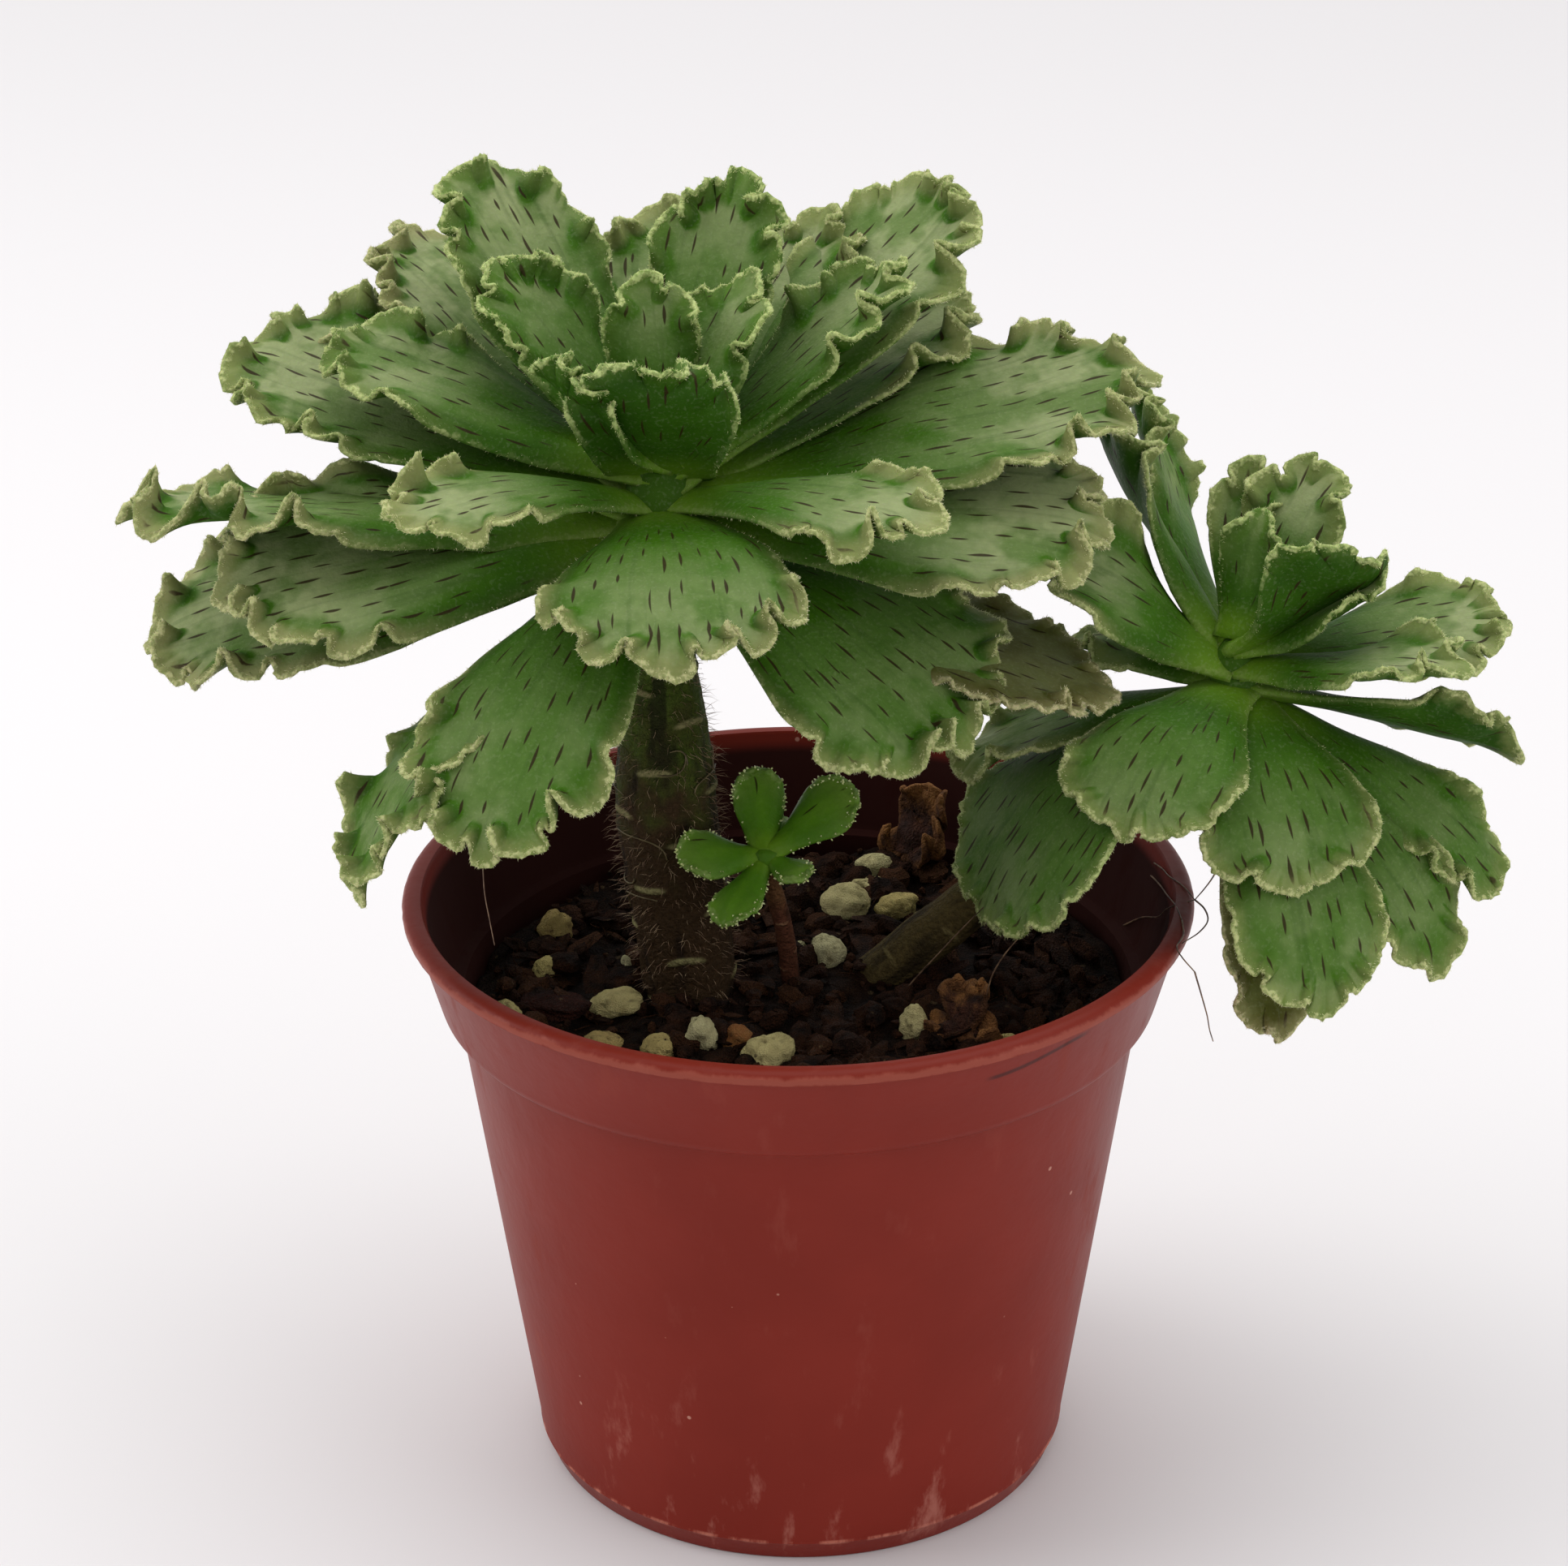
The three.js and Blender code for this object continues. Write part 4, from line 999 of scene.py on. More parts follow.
def leaf_material(name, sheen_colour, green, under, amount, fringe, rough=0.5):
    """Leaf: painted sheen in grey green on the flat of the upper face, strongest on leaves that face up,
    clear green where it curls and on its underside, painted shade in its folds and towards the stalk,
    a painted glow of light through the stalk, dark streaks along the blade, and a cream edge that turns
    beige with age.

    The amount is the share of cells with a streak, and fringe tells how strong the cream edge is.
    """
    shade = blank(name)
    edge, x, upper = shade.layer("zone")
    # The third part of state is the share of painted sheen
    steep, age, sheen_share = shade.layer("state")
    place, patches, fine = shade.mottle(130.0)
    chart = shade.chart()
    lines = shade.noise(chart.stretch(0.9, 0.06), 1.0, 2.0)
    inner = edge.span(0.0, 0.8) * x.span(0.92, 0.58)
    flat = (steep + patches * 0.16).span(0.54, 0.2) * (1.0 - inner)
    along = (x + patches * 0.34 + lines * 0.22).span(0.6, 1.12)
    # Painted sheen: grey green laid on the flat of the upper face towards the tip, most on leaves that face up
    sheen_level = flat * along * sheen_share * patches.span(0.15, 0.85, 1.3, 0.38) * age.span(0.0, 0.4, 0.55, 1.0)
    # Painted shade: the underside's darker green laid on the upper face in its folds, where it curls, and
    # towards the stalk
    fold_shade = shade.calc("MAXIMUM", inner * 0.55, steep.span(0.45, 0.8, 0.0, 0.6))
    fold_shade = shade.calc("MAXIMUM", fold_shade, x.span(0.55, 0.25, 0.0, 0.5))
    # A paler band near the edge of the upper face: the leaf's own colour, but laid as strongly as the painted
    # sheen, so partly painted sheen
    worn = edge.span(0.2, 0.75) * (x.span(0.45, 0.75) * (sheen_share * 0.6)) * age.span(0.0, 0.5, 0.3, 1.0)
    faded = age.span(1.2, 2.0) * x.span(0.2, 0.6, 0.35, 1.0)
    down = shade.noise(place, 2600.0, 2.0)
    dashes = shade.use(STREAKS, Vector=chart, Amount=amount)
    dashes = dashes * (x.span(0.2, 0.4) * edge.span(0.88, 0.76))
    uneven = shade.noise(place, 420.0, 1.0)
    clumps = shade.noise(place, 1500.0, 1.0)
    beads = shade.noise(place, 2400.0, 1.0)
    outside = x.span(0.42, 0.74, 0.12, 1.0)
    border = edge + fine * 0.14 + uneven * 0.3 - 0.22 + clumps * 0.24 - 0.12
    halo = border.span(0.5, 1.0) * (outside * age.span(0.0, 0.8, 0.1, 0.5 * fringe))
    rim = border.span(0.9, 1.02) * outside
    cream = (age * 0.7).mix((200, 212, 142), (204, 194, 150))
    face = coats(
        upper.mix((patches * 0.5).mix(under, green), sheen_level.mix(green, sheen_colour)),
        (lines.span(0.5, 0.75, 0.0, 0.35), under),
        # Painted shade in the folds
        (fold_shade * upper, under),
        # Painted glow: paler yellow green at the stalk, for light shining through it
        (x.span(0.36, 0.08, 0.0, 0.6), (108, 146, 30)),
        (worn * upper, age.mix((120, 140, 76), (150, 148, 100))),
        (faded * 0.7, patches.mix((84, 86, 30), (84, 64, 28))),
        (down.span(0.52, 0.7, 0.0, 0.08) * fringe, (180, 190, 150)),
        (dashes * 0.9, (44, 24, 12)),
        (halo, age.mix((138, 158, 78), (158, 156, 104))),
        (rim * (0.85 * fringe), beads.span(0.4, 0.6, 0.0, 0.55).mix(cream, (104, 122, 52))),
        (fine * 0.12, (30, 48, 12)),
    )
    return shade.finish(
        face,
        patches.span(0.0, 1.0, rough, rough + 0.14),
        shade.bump(down + fine * 0.8 + rim * beads * 3.0, 0.0001, 0.5),
        Subsurface_Weight=0.15,
        Subsurface_Radius=(0.4, 1.0, 0.15),
        Subsurface_Scale=0.0015,
        specular=0.09,
    )


def gland_material():
    """Gland hairs: pale yellow green on young leaves, cream to beige on old ones, wet and clear, and on some a
    painted glint.
    """
    shade = blank("gland_hairs")
    age, luck, _ = shade.layer("tone")
    # Painted glint: some hairs are laid nearly white at random, as light catching their wet beads
    colour = coats((age * 0.7).mix((216, 224, 150), (222, 212, 168)), (luck * 0.4, (224, 226, 190)))
    return shade.finish(colour, luck.span(0.0, 1.0, 0.2, 0.4), specular=0.6)


def dry_leaf_material():
    """Dead leaf: red brown to straw, dull, with fine lengthwise ribs."""
    shade = blank("dry_leaf")
    edge, x, _ = shade.layer("zone")
    _, patches, fine = shade.mottle(420.0)
    ribs = shade.noise(shade.chart().stretch(2.2, 0.12), 1.0, 3.0, 0.6)
    straw = patches.mix((104, 66, 36), (166, 114, 62))
    colour = coats(
        patches.mix((34, 16, 10), (74, 38, 22)),
        ((x + patches * 0.4).span(0.66, 1.12), straw),
        (ribs.span(0.5, 0.7, 0.0, 0.25), (120, 80, 46)),
        (edge.span(0.85, 1.0) * 0.3, straw),
    )
    return shade.finish(colour, 0.75, shade.bump(ribs + fine, 0.0004, 0.8), specular=0.25)


def stem_material(name, bark, young, scar, span_from, span_to):
    """Stem: bark that turns to its young colour between two shares of its length, with pale leaf scars, and
    dark fissures along it."""
    shade = blank(name)
    scars, share, groove = shade.layer("tone")
    _, patches, fine = shade.mottle(260.0)
    colour = coats(
        bark,
        ((share + patches * 0.22 - 0.11).span(span_from, span_to), young),
        (fine * 0.4, (26, 18, 10)),
        (groove.span(0.35, 0.9, 0.0, 0.7), (22, 14, 9)),
        (scars.span(0.14, 0.6) * fine.span(0.1, 0.6, 0.55, 1.0), scar),
    )
    return shade.finish(colour, 0.75, shade.bump(fine + scars * 0.4, 0.0003, 0.7), specular=0.15)


def hair_material(name, low, high):
    """Hairs and fine roots: between two tones, patch by patch."""
    shade = blank(name)
    luck = shade.noise(shade.place(), 900.0, 1.0)
    return shade.finish(luck.span(0.3, 0.7).mix(low, high), 0.5, specular=0.4)


def soil_material(name, dark, warm, litter):
    """Potting soil: near black brown crumbs, with warmer bits, as strong as litter says, and a few specks."""
    shade = blank(name)
    luck, other, _ = shade.layer("tone")
    place, patches, fine = shade.mottle(520.0)
    colour = coats(
        patches.mix(dark, warm),
        (luck.span(0.6, 1.0, 0.0, 2 * litter), (92, 58, 36)),
        (shade.specks(place, 900.0, 0.05, 0.3) * 0.5, (134, 112, 80)),
        (fine * 0.4, (12, 8, 6)),
    )
    rough = other.span(0.0, 1.0, 0.7, 0.95)
    return shade.finish(colour, rough, shade.bump(fine + patches, 0.0006, 0.9), specular=0.12)


def pumice_material():
    """Pumice: white, cream or orange brown by its warmth, brown in its pits, with dark specks."""
    shade = blank("pumice")
    warmth, pits, creases = shade.layer("tone")
    place, patches, fine = shade.mottle(700.0)
    colour = coats(
        warmth.span(0.1, 0.5).mix((228, 222, 172), (226, 208, 134)),
        (warmth.span(0.5, 1.0), (160, 100, 54)),
        (patches * 0.22, (176, 156, 96)),
        (creases * 0.3, (120, 96, 52)),
        (pits * 0.6, (96, 72, 42)),
        (shade.specks(place, 1100.0, 0.07, 0.26) * 0.7, (58, 42, 28)),
    )
    return shade.finish(colour, 0.85, shade.bump(fine + patches, 0.0003, 0.8), specular=0.25)


def pot_material():
    """Moulded plastic: dull terracotta red, with painted shade a little darker on the lip, worn pale flash
    on both edges, pale dusty specks, faint scuffs near the foot, a few dark nicks, a scratch on the collar
    and painted shade that darkens the inside."""
    shade = blank("pot_plastic")
    place, patches, fine = shade.mottle(60.0)
    x, y, z = place.split()
    radius = shade.calc("SQRT", x * x + y * y)
    smears = shade.noise(place.stretch(1.0, 1.0, 0.35), 240.0, 5.0, 0.65)
    ragged = shade.noise(place.stretch(1.0, 1.0, 0.2), 420.0, 4.0, 0.7)
    worn = z + ragged * 0.0011
    flash = worn.span(0.06595, 0.06635) * worn.span(0.0672, 0.0668) * radius.span(0.0418, 0.0422)
    foot = z.span(0.0021, 0.0023) * z.span(0.0029, 0.0026) * ragged.span(0.42, 0.6)
    scuff = smears.span(0.56, 0.72)
    turn = shade.calc("ARCTAN2", x, y * -1.0)
    off = abs(z - turn.span(0.49, 0.8, 0.06293, 0.06425))
    scratch = turn.span(0.47, 0.51) * turn.span(0.82, 0.76) * off.span(0.0004, 0.0001)
    # Painted shade: the inner wall above the soil and the ledge inside the band are darkened, for the shade
    # inside the pot
    facing_x, facing_y, _ = shade.node("ShaderNodeNewGeometry", "Normal").split()
    inward = (facing_x * x + facing_y * y) / radius
    shaded_ledge = z.span(0.0555, 0.0557) * (radius < 0.0382)
    inside = shade.calc("MAXIMUM", inward.span(-0.3, -0.7) * z.span(0.0662, 0.0645), shaded_ledge)
    colour = coats(
        patches.mix((119, 34, 22), (126, 38, 26)),
        # Painted shade: a little darker on the top of the band and the lip
        (z.span(0.0644, 0.0662) * 0.5, (112, 35, 22)),
        (flash * 0.3, (186, 110, 92)),
        (foot * 0.55, (206, 130, 108)),
        (scuff * (z.span(0.028, 0.002) * 0.32 + 0.05), (204, 140, 124)),
        (shade.specks(place, 420.0, 0.05, 0.11) * 0.55, (214, 160, 140)),
        (shade.specks(place, 90.0, 0.03, 0.05) * 0.85, (52, 14, 14)),
        (scratch * 0.85, (62, 18, 14)),
        # Painted shade inside the pot
        (inside * 0.93, (34, 11, 7)),
    )
    rough = smears * 0.16 + scuff * 0.12 + inside * 0.4 + 0.34
    return shade.finish(colour, rough, shade.bump(fine + scuff * 0.5, 0.00004, 0.5), specular=0.14)


def floor_material():
    """A pale studio floor, with painted shade that darkens it towards the back."""
    shade = blank("studio_floor")
    place = shade.place()
    near = shade.noise(place, 3.0, 2.0).mix((0.78, 0.765, 0.77, 1), (0.80, 0.785, 0.79, 1))
    # Painted shade: the floor is darker towards the back, where less light falls
    far = place.split()[1].span(0.1, 0.7)
    return shade.finish(far.mix(near, (0.70, 0.685, 0.69, 1)), 0.8, specular=0.1)


LEAF = leaf_material("leaf", (146, 158, 108), (62, 104, 16), (38, 74, 8), amount=0.9, fringe=1.0)
# The shoot's leaves: a fresher green of their own, made brighter still as painted light that lifts them out of
# the shade they sit in
YOUNG_LEAF = leaf_material(
    "young_leaf", (116, 152, 54), (92, 140, 30), (60, 104, 16), amount=0.3, fringe=0.3, rough=0.34
)
GLANDS = gland_material()
DRY_LEAF = dry_leaf_material()
BARK = stem_material("stem_bark", (68, 50, 30), (78, 98, 30), (142, 136, 92), 0.5, 0.85)
SIDE_BARK = stem_material("side_bark", (92, 78, 44), (84, 92, 40), (112, 100, 62), 0.25, 0.9)
SHOOT_BARK = stem_material("shoot_bark", (104, 62, 44), (118, 84, 50), (140, 104, 76), 0.6, 1.1)
HAIR = hair_material("stem_hairs", (142, 108, 86), (206, 178, 144))
ROOT = hair_material("fine_roots", (78, 56, 42), (138, 110, 84))
THREAD = hair_material("stem_threads", (84, 72, 46), (122, 108, 74))
SOIL = soil_material("soil", (20, 12, 8), (54, 33, 20), 0.3)
CRUMBS = soil_material("soil_crumbs", (24, 14, 9), (78, 46, 28), 0.45)
FLAKE = soil_material("bark_flake", (40, 18, 13), (84, 42, 30), 0.0)
PUMICE_FINISH = pumice_material()
POT_PLASTIC = pot_material()


# Making the pieces

rng = np.random.default_rng(20)


def make_pot():
    """The pot: a lathe of its moulded profile with a ragged lip edge, and eight drilled drain holes.

    Each corner of the profile is a radius and a height, with the small steps from it that round it off.
    """
    top = POT_HEIGHT
    lip = top - LIP_FALL - LIP_THICKNESS
    wall = BAND_FOOT_RADIUS - POT_WALL
    shoulder = inner_wall(SHOULDER_HEIGHT)
    corners = [
        (0, 0, [(0, 0), (28.0, 0), (28.4, 0.12), (28.6, 0.5)]),
        (BASE_RADIUS, BASE_CHAMFER_HEIGHT, [(-0.08, -0.2), (0.1, 0), (0.02, 0.2)]),
        (SHOULDER_RADIUS, SHOULDER_HEIGHT, [(-0.06, -0.4), (0.12, 0.05)]),
        (BAND_FOOT_RADIUS, BAND_FOOT_HEIGHT, [(-0.4, -0.35), (0, 0.15), (0.15, 0.6)]),
        (BAND_TOP_RADIUS, lip, [(-0.1, -0.35), (0.15, -0.02)]),
        (RIM_RADIUS, lip, [(-0.35, 0), (-0.06, 0.15), (0, 0.5), (-0.06, 0.85)]),
        (RIM_RADIUS, top, [(-0.4, -0.28), (-0.9, -0.04), (-1.5, 0)]),
        (LIP_INNER_RADIUS, top, [(0.2, -0.06), (-0.05, -0.4)]),
        (wall, BAND_FOOT_HEIGHT, [(0, 0.9), (-0.4, 0.3)]),
        (shoulder, BAND_FOOT_HEIGHT, [(0.3, 0)]),
        (shoulder, SHOULDER_HEIGHT, [(0, -0.2)]),
        (inner_wall(FLOOR_THICKNESS), FLOOR_THICKNESS, [(0, 0)]),
        (0, FLOOR_THICKNESS, [(0, 0)]),
    ]
    profile = [(radius + out, height + up) for radius, height, rounding in corners for out, up in rounding]

    def ragged(radius, height, angle):
        """The lip's outer edge goes in by a tenth of a millimetre in short steps, and all above the shoulder
        by up to 0.12 mm in slow waves."""
        at_lip = np.exp(-(((height - lip - 0.5) / 0.35) ** 2)) * (radius > RIM_RADIUS - 0.5)
        rough = noise_along(angle * 34, 3) + 0.6 * noise_along(angle * 90, 4)
        broad = noise_along(angle * 1.2, 8) * 0.12 * (height > SHOULDER_HEIGHT)
        return radius - 0.11 * at_lip * clamp(rough + 0.4) - np.abs(broad)

    pot = build("pot_shell", lathe(profile, POT_SIDES, ragged), POT_PLASTIC)
    low, high, across = -FLOOR_THICKNESS, 2 * FLOOR_THICKNESS, DRAIN_HOLE_RADIUS
    drill = lathe([[0, low], [across, low], [across, high], [0, high]], 32)
    holes = []
    for angle in np.arange(DRAIN_HOLES) * TAU / DRAIN_HOLES:
        holes.append({**drill, "points": drill["points"] + [*polar(DRAIN_CIRCLE_RADIUS, angle), 0]})
    drills = build("drills", heap(holes), POT_PLASTIC)
    cut = pot.modifiers.new("drain_holes", "BOOLEAN")
    cut.operation = "DIFFERENCE"
    cut.object = drills
    cut.solver = "EXACT"
    drilled = bpy.data.meshes.new_from_object(pot.evaluated_get(bpy.context.evaluated_depsgraph_get()))
    pot.modifiers.clear()
    pot.data = drilled
    bpy.data.objects.remove(drills)
    drilled.polygons.foreach_set("use_smooth", [True] * len(drilled.polygons))
    drilled.set_sharp_from_angle(angle=np.radians(38))
    dress(pot, "pot")


def make_soil():
    """The filling: one grid from the middle of its top over the wall to the middle of its foot."""
    around = 300
    wall = inner_wall(SOIL_HEIGHT - 1.4) - SOIL_GAP
    foot = FLOOR_THICKNESS + SOIL_GAP
    shares = np.concatenate([[0], np.linspace(0.02, 1, 96)])
    angle = np.arange(around) * TAU / around
    x = wall * np.outer(shares, np.cos(angle))
    y = wall * np.outer(shares, np.sin(angle))
    place = pack(x, y, 0 * x)
    crumbs = 0.75 * fractal_noise(place / 2.6, 4, 2) + 0.5 * np.abs(value_noise(place / 5.5, 9))
    fall = 0.8 * clamp((shares[:, None] - 0.95) / 0.05)
    top = pack(x, y, soil_height(x, y) - 0.35 + crumbs - fall)
    ring = pack(*polar(inner_wall(foot) - SOIL_GAP, angle), foot + 0 * angle)
    points = np.concatenate([top, ring[None], ring[None] * [0, 0, 1]])
    luck = clamp(value_noise(points / 1.9, 5) * 0.6 + 0.3)
    layer = pack(luck, luck, luck).reshape(-1, 3)
    faces = grid_faces(round_grid(len(points), around, [0, -1]))
    build("soil_fill", {"points": points.reshape(-1, 3), "faces": faces, "tone": layer}, SOIL, "soil", "soil")


def inside_pot(half):
    """Random places for pieces of these half sizes on the soil, each clear of the pot's wall."""
    reach = SOIL_REACH - 1.35 * half.max(axis=1)
    return polar(reach * np.sqrt(rng.uniform(0, 1, len(half))), rng.uniform(0, TAU, len(half)))


def gap_to(x, y, things):
    """How far places are from each of some things, given as rows that start with their x and y."""
    things = np.array([thing[:2] for thing in things])
    return np.hypot(x[:, None] - things[:, 0], y[:, None] - things[:, 1])


def make_crumbs():
    """Crumbs, bark bits and flakes on the soil, none of them inside a stem."""
    size = 0.45 + 1.9 * rng.uniform(0, 1, CRUMB_COUNT) ** 2.2
    half = size[:, None] * rng.uniform([0.8, 0.55, 0.4], [1.3, 0.9, 0.8], (CRUMB_COUNT, 3))
    flat = rng.uniform(size=CRUMB_COUNT) < 0.3
    half[flat] *= [1.9, 0.9, 0.3]
    x, y = inside_pot(half)
    clear = (gap_to(x, y, STEM_FEET) > [foot[2] for foot in STEM_FEET]).all(axis=1)
    centre = pack(x, y, soil_height(x, y) + 0.35 * half[:, 2] + 0.1)
    crumbs = clods(centre[clear], half[clear], 3, 5, 7)
    build("soil_crumbs", crumbs, CRUMBS, "soil", smooth=False)
    half = rng.uniform([1.0, 0.7, 0.35], [2.6, 1.6, 0.9], (BIT_COUNT, 3))
    x, y = inside_pot(half)
    clear = gap_to(x, y, [*PUMICE, *STEM_FEET, BARK_CHIP]).min(axis=1) > 4.5
    centre = pack(x, y, soil_height(x, y) + 0.3 * half[:, 2] + 0.2)
    build("bark_bits", clods(centre[clear], half[clear], 8, 10, 14), CRUMBS, "soil", smooth=False)


def make_grains():
    """The pumice grains, the smaller grit between them and the flat dark chip of bark."""
    for number, row in enumerate(PUMICE, 1):
        name = f"{number:02d}"
        build(f"pumice_grain_{name}", grain(row, number), PUMICE_FINISH, "pumice", f"pumice_{name}")
    grit = heap(grain(row, 40 + k, 14, 20) for k, row in enumerate(GRIT))
    build("pumice_grit", grit, PUMICE_FINISH, "pumice")
    build("bark_flake", grain(BARK_CHIP, 77, 24, 44), FLAKE, "bark", "bark_chip")


def scar_relief(pitch, half_width, half_height, rise, start, stop, furrow):
    """Leaf scars up a stem, each a golden angle round from the last, and shallow furrows between them.

    The scars stand pitch apart from start to stop. Each lifts the skin by up to rise times
    exp(-(across/half width)^4 - (along/half height)^2), with its ends bent down, or up on every third.
    The furrow is the height of the lumps and about the depth of the furrows.
    """

    def relief(along, angle, radius):
        scars = np.zeros(along.shape)
        total = along.max()
        for k, centre in enumerate(np.arange(start, min(stop, total), pitch)):
            off = (angle - GOLDEN_ANGLE * k + np.pi) % TAU - np.pi
            across = off * radius
            up = along - centre + 0.06 * across**2 * (1 if k % 3 else -0.6)
            near = np.abs(up) < 4 * half_height
            lens = np.exp(-((across / half_width) ** 4) - (up / half_height) ** 2) * near
            scars = np.maximum(scars, lens * (0.6 + 0.4 * scatter(k, 2)))
        skin = pack(np.cos(angle) * radius / 1.6, np.sin(angle) * radius / 1.6, along / 7)
        groove = clamp(fractal_noise(skin, 3, 6) * 1.3 + 0.35)
        lump = fractal_noise(skin * [0.5, 0.5, 2.4], 3, 12)
        change = rise * scars + furrow * (0.8 * lump - 0.7 * groove)
        return change, pack(scars, along / total, groove)

    return relief


def on_trunk(share, angle):
    """Places on the trunk's skin and their outward directions, from shares of its length and angles."""
    path = smooth_path(MAIN_STEM_PATH, 240)
    _, side, top = path_frames(path)
    steps = np.linspace(0, 1, len(path))
    radius = np.interp(share, np.linspace(0, 1, len(MAIN_STEM_RADII)), MAIN_STEM_RADII)
    spoke = unit(sample(share, steps, side)) * np.cos(angle)[:, None]
    spoke = spoke + unit(sample(share, steps, top)) * np.sin(angle)[:, None]
    return sample(share, steps, path) + radius[:, None] * spoke, spoke


def make_stems():
    """The three stems, and the hairs of the trunk."""
    scars = scar_relief(pitch=1.7, half_width=2.1, half_height=0.4, rise=0.34, start=14, stop=64, furrow=0.28)
    trunk = rod(MAIN_STEM_PATH, MAIN_STEM_RADII, 300, 110, scars)
    build("main_trunk", trunk, BARK, "stem_bark", "main_stem")
    scars = scar_relief(pitch=2.3, half_width=1.5, half_height=0.32, rise=0.15, start=8, stop=60, furrow=0.18)
    branch = rod(SIDE_STEM_PATH, SIDE_STEM_RADII, 220, 64, scars)
    build("side_branch", branch, SIDE_BARK, "stem_bark", "side_stem")
    scars = scar_relief(pitch=2.4, half_width=0.8, half_height=0.2, rise=0.06, start=7, stop=20, furrow=0.07)
    shoot = rod(SHOOT_STEM_PATH, SHOOT_STEM_RADII, 120, 36, scars)
    build("shoot_branch", shoot, SHOOT_BARK, "shoot_bark", "shoot_stem")
    share = rng.uniform(0.245, 0.97, HAIR_COUNT)
    skin, spoke = on_trunk(share, rng.uniform(0, TAU, HAIR_COUNT))
    lean = rng.normal(0, 0.3, (HAIR_COUNT, 3))
    size = rng.uniform(0.7, 2.5, HAIR_COUNT) * np.where(share > 0.78, 0.6, 1)
    droop = rng.normal(0, 0.35, (HAIR_COUNT, 3)) + [0, 0, -0.35]
    fur = hairs(skin - 0.12 * spoke, spoke + lean, droop, size, rng.uniform(0.025, 0.042, HAIR_COUNT))
    build("trunk_hairs", fur, HAIR, "stem_bark")


def make_rosette(name, leaves, heart, profile, material, glands, spacing, pitch, parts=1):
    """A rosette: its leaves in a few pieces that share one heart, and the gland hairs of all margins.

    The spacing is that of the rows along a leaf's margin, and the pitch that of its folds.
    """
    # The shoot's leaves have their own finish, blunter tips and hardly a ruffle
    slot, tip, ruffle = ("young_leaf", 0.3, 0.12) if name == "shoot" else ("leaf", 1.2, None)
    shapes, borders = [], []
    for number, row in enumerate(leaves, 1):
        root = np.array([heart[0], heart[1], row[8]])
        shape, border = leaf_shape(row, number, root, spacing, pitch, tip, ruffle=ruffle)
        shapes.append(shape)
        borders.append(border)
    centre = lathe(profile, 48)
    centre["points"] = centre["points"] + heart
    bare = np.zeros((len(centre["points"]), 3))
    centre.update(zone=bare + [0, 0.3, 0], state=bare + [0.4, 1.4, 0.5], uv=bare[:, :2])
    shapes.append(centre)
    for part, group in enumerate(np.array_split(np.arange(len(shapes)), parts), 1):
        label = f"{name}_leaves" if parts == 1 else f"{name}_leaves_{part}"
        build(label, heap(shapes[k] for k in group), material, slot, f"{name}_rosette")
    fur = heap(margin_hairs(border, *glands) for border in borders)
    build(f"{name}_leaves_glands", fur, GLANDS, slot, f"{name}_rosette", smooth=False)


def make_fibres():
    """Fine roots from the rim and the soil, threads that cling to the trunk, and litter on the soil."""
    roots = []
    for radius, *points in ROOT_FIBRES:
        roots.append(rod(np.reshape(points, (-1, 3)), [radius, 0.8 * radius, 0.6 * radius], 30, 6))
    build("root_fibres", heap(roots), ROOT, "stem_bark")
    threads = []
    low, high = [0.26, 0, -0.09, -1.4], [0.86, TAU, 0.09, 1.4]
    for share, angle, rise, sweep in rng.uniform(low, high, (THREAD_COUNT, 4)):
        part = np.linspace(0, 1, 6)
        skin, spoke = on_trunk(share + rise * part * (1.6 - part), angle + sweep * part**2)
        threads.append(rod(skin + 0.12 * spoke, [0.1, 0.07], 24, 5))
    build("trunk_threads", heap(threads), THREAD, "stem_bark")
    count = LITTER_COUNT
    radius = LITTER_REACH * np.sqrt(rng.uniform(0, 1, count))
    angle, heading = rng.uniform(0, TAU, (2, count))
    x, y = polar(radius, angle)
    base = pack(x, y, soil_height(x, y) + 0.35)
    direction = pack(*polar(1, heading), rng.uniform(-0.1, 0.25, count))
    size = rng.uniform(1.5, 4.2, count) * np.clip((SOIL_REACH - radius) / 4.5, 0.2, 1)
    droop = rng.normal(0, 0.4, (count, 3)) + [0, 0, -0.2]
    litter = hairs(base, direction, droop, size, rng.uniform(0.06, 0.13, count))
    litter["tone"] = np.zeros((len(litter["points"]), 3)) + [0.9, 0.5, 0]
    build("soil_litter", litter, CRUMBS, "soil")


def make_dead_leaves():
    """Two dry leaves, each a heap of three crumpled sheets that share a root."""
    for number, (node, x, y, row) in enumerate(DEAD_LEAVES):
        shapes = []
        for turn, sink, share in ((0, 0, 0.9), (-72, 26, 0.6), (85, 34, 0.5)):
            sheet = [row[0] + turn, row[1] - sink, row[2], row[3] * share, row[4] * share, *row[5:]]
            seed, root = 60 + number + turn, np.array([x, y, row[8]])
            shapes.append(leaf_shape(sheet, seed, root, 0.2, 2.4, 1.0, crumple=1.5, ruffle=0.9)[0])
        build(f"{node}_curl", heap(shapes), DRY_LEAF, "dry_leaf", node)


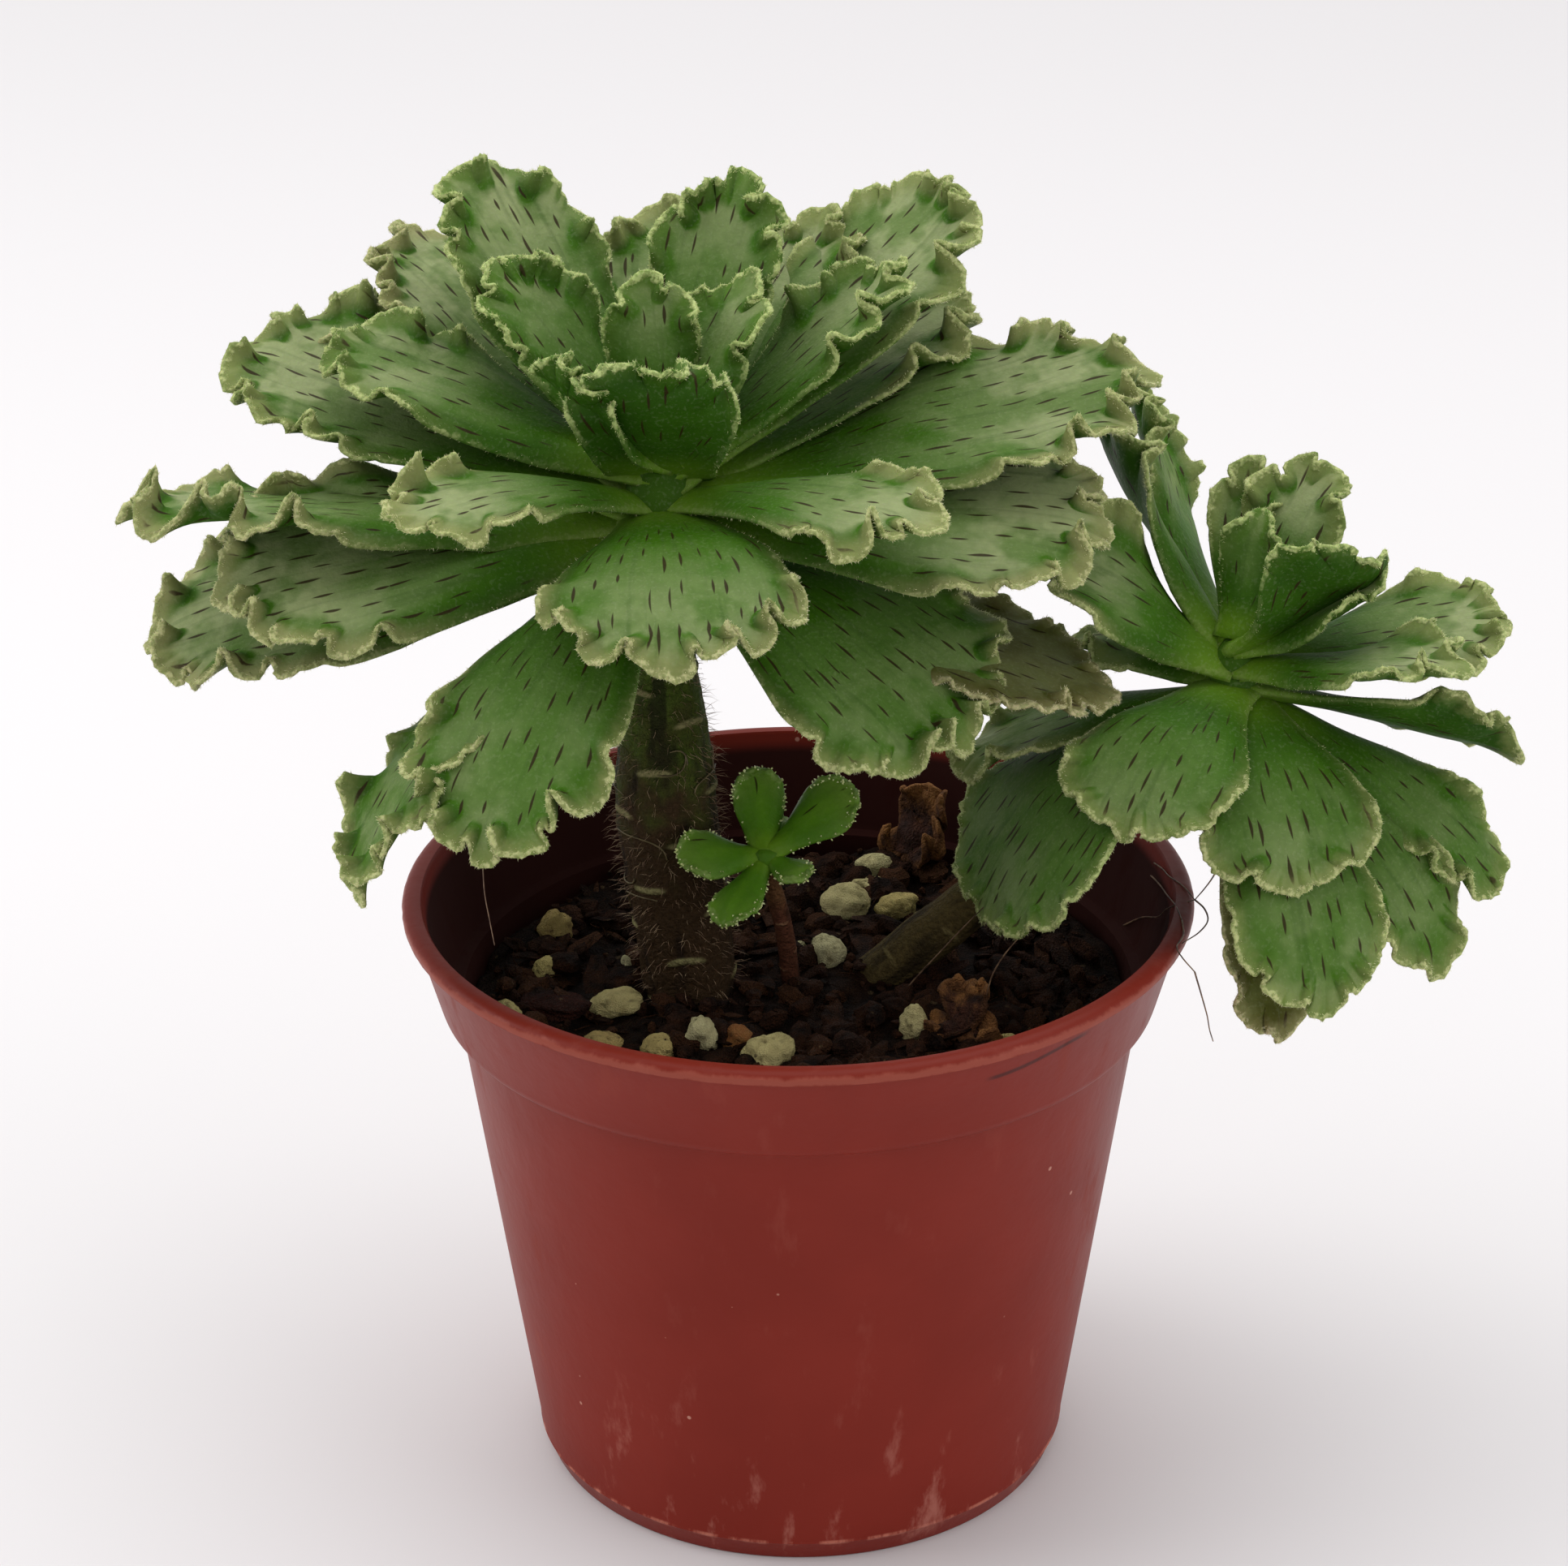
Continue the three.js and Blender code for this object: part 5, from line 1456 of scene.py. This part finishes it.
def make_stage():
    """A wide floor, soft light from above and from both sides, and the camera."""
    scene = bpy.context.scene
    corners = np.array([[-1, -1, 0], [1, -1, 0], [1, 1, 0], [-1, 1, 0]]) * FLOOR_HALF
    square = {"points": corners, "faces": np.array([[0, 1, 2, 3]])}
    floor = build("studio_floor", square, floor_material(), smooth=False)
    world = bpy.data.worlds.new("studio")
    world.use_nodes = True
    world.node_tree.nodes["Background"].inputs["Color"].default_value = (1.0, 0.99, 1.0, 1)
    world.node_tree.nodes["Background"].inputs["Strength"].default_value = 0.66
    scene.world = world
    # Each light: its name, its place and its width in metres, and its power in watts
    lights = [
        ("overhead", (0.0, 0.45, 1.5), 1.8, 13.2),
        ("left_soft", (-1.1, 0.1, 0.75), 1.0, 5.4),
        ("right_soft", (1.0, -0.45, 0.55), 0.9, 2.6),
    ]
    for name, place, size, power in lights:
        lamp = bpy.data.lights.new(name, "AREA")
        lamp.shape = "DISK"
        lamp.size = size
        lamp.energy = power
        holder = bpy.data.objects.new(name, lamp)
        holder.location = place
        holder.rotation_euler = (Vector((0, 0, 0.08)) - Vector(place)).to_track_quat("-Z", "Y").to_euler()
        scene.collection.objects.link(holder)
    pitch, heading, roll = CAMERA_ANGLES
    ahead = Vector((np.sin(heading) * np.cos(pitch), np.cos(heading) * np.cos(pitch), -np.sin(pitch)))
    right = Vector((np.cos(heading), -np.sin(heading), 0))
    up = right.cross(ahead)
    turned_right = right * np.cos(roll) + up * np.sin(roll)
    turned_up = up * np.cos(roll) - right * np.sin(roll)
    camera = bpy.data.objects.new("camera", bpy.data.cameras.new("camera"))
    camera.data.sensor_width = 36
    camera.data.lens = CAMERA_LENS
    camera.data.clip_end = 20
    axes = Matrix((turned_right, turned_up, -ahead)).transposed()
    camera.matrix_world = Matrix.Translation(CAMERA_PLACE) @ axes.to_4x4()
    scene.collection.objects.link(camera)
    scene.camera = camera
    scene.view_settings.view_transform = "Standard"


make_stage()
make_pot()
make_soil()
make_crumbs()
make_grains()
make_stems()
make_fibres()
make_dead_leaves()
make_rosette(
    "main", MAIN_LEAVES, MAIN_HEART, MAIN_HEART_PROFILE, LEAF, MAIN_GLANDS, spacing=0.34, pitch=5.6, parts=2
)
make_rosette("side", SIDE_LEAVES, SIDE_HEART, SIDE_HEART_PROFILE, LEAF, SIDE_GLANDS, spacing=0.34, pitch=5.0)
make_rosette(
    "shoot", SHOOT_LEAVES, SHOOT_HEART, SHOOT_HEART_PROFILE, YOUNG_LEAF, SHOOT_GLANDS, spacing=0.3, pitch=3.0
)
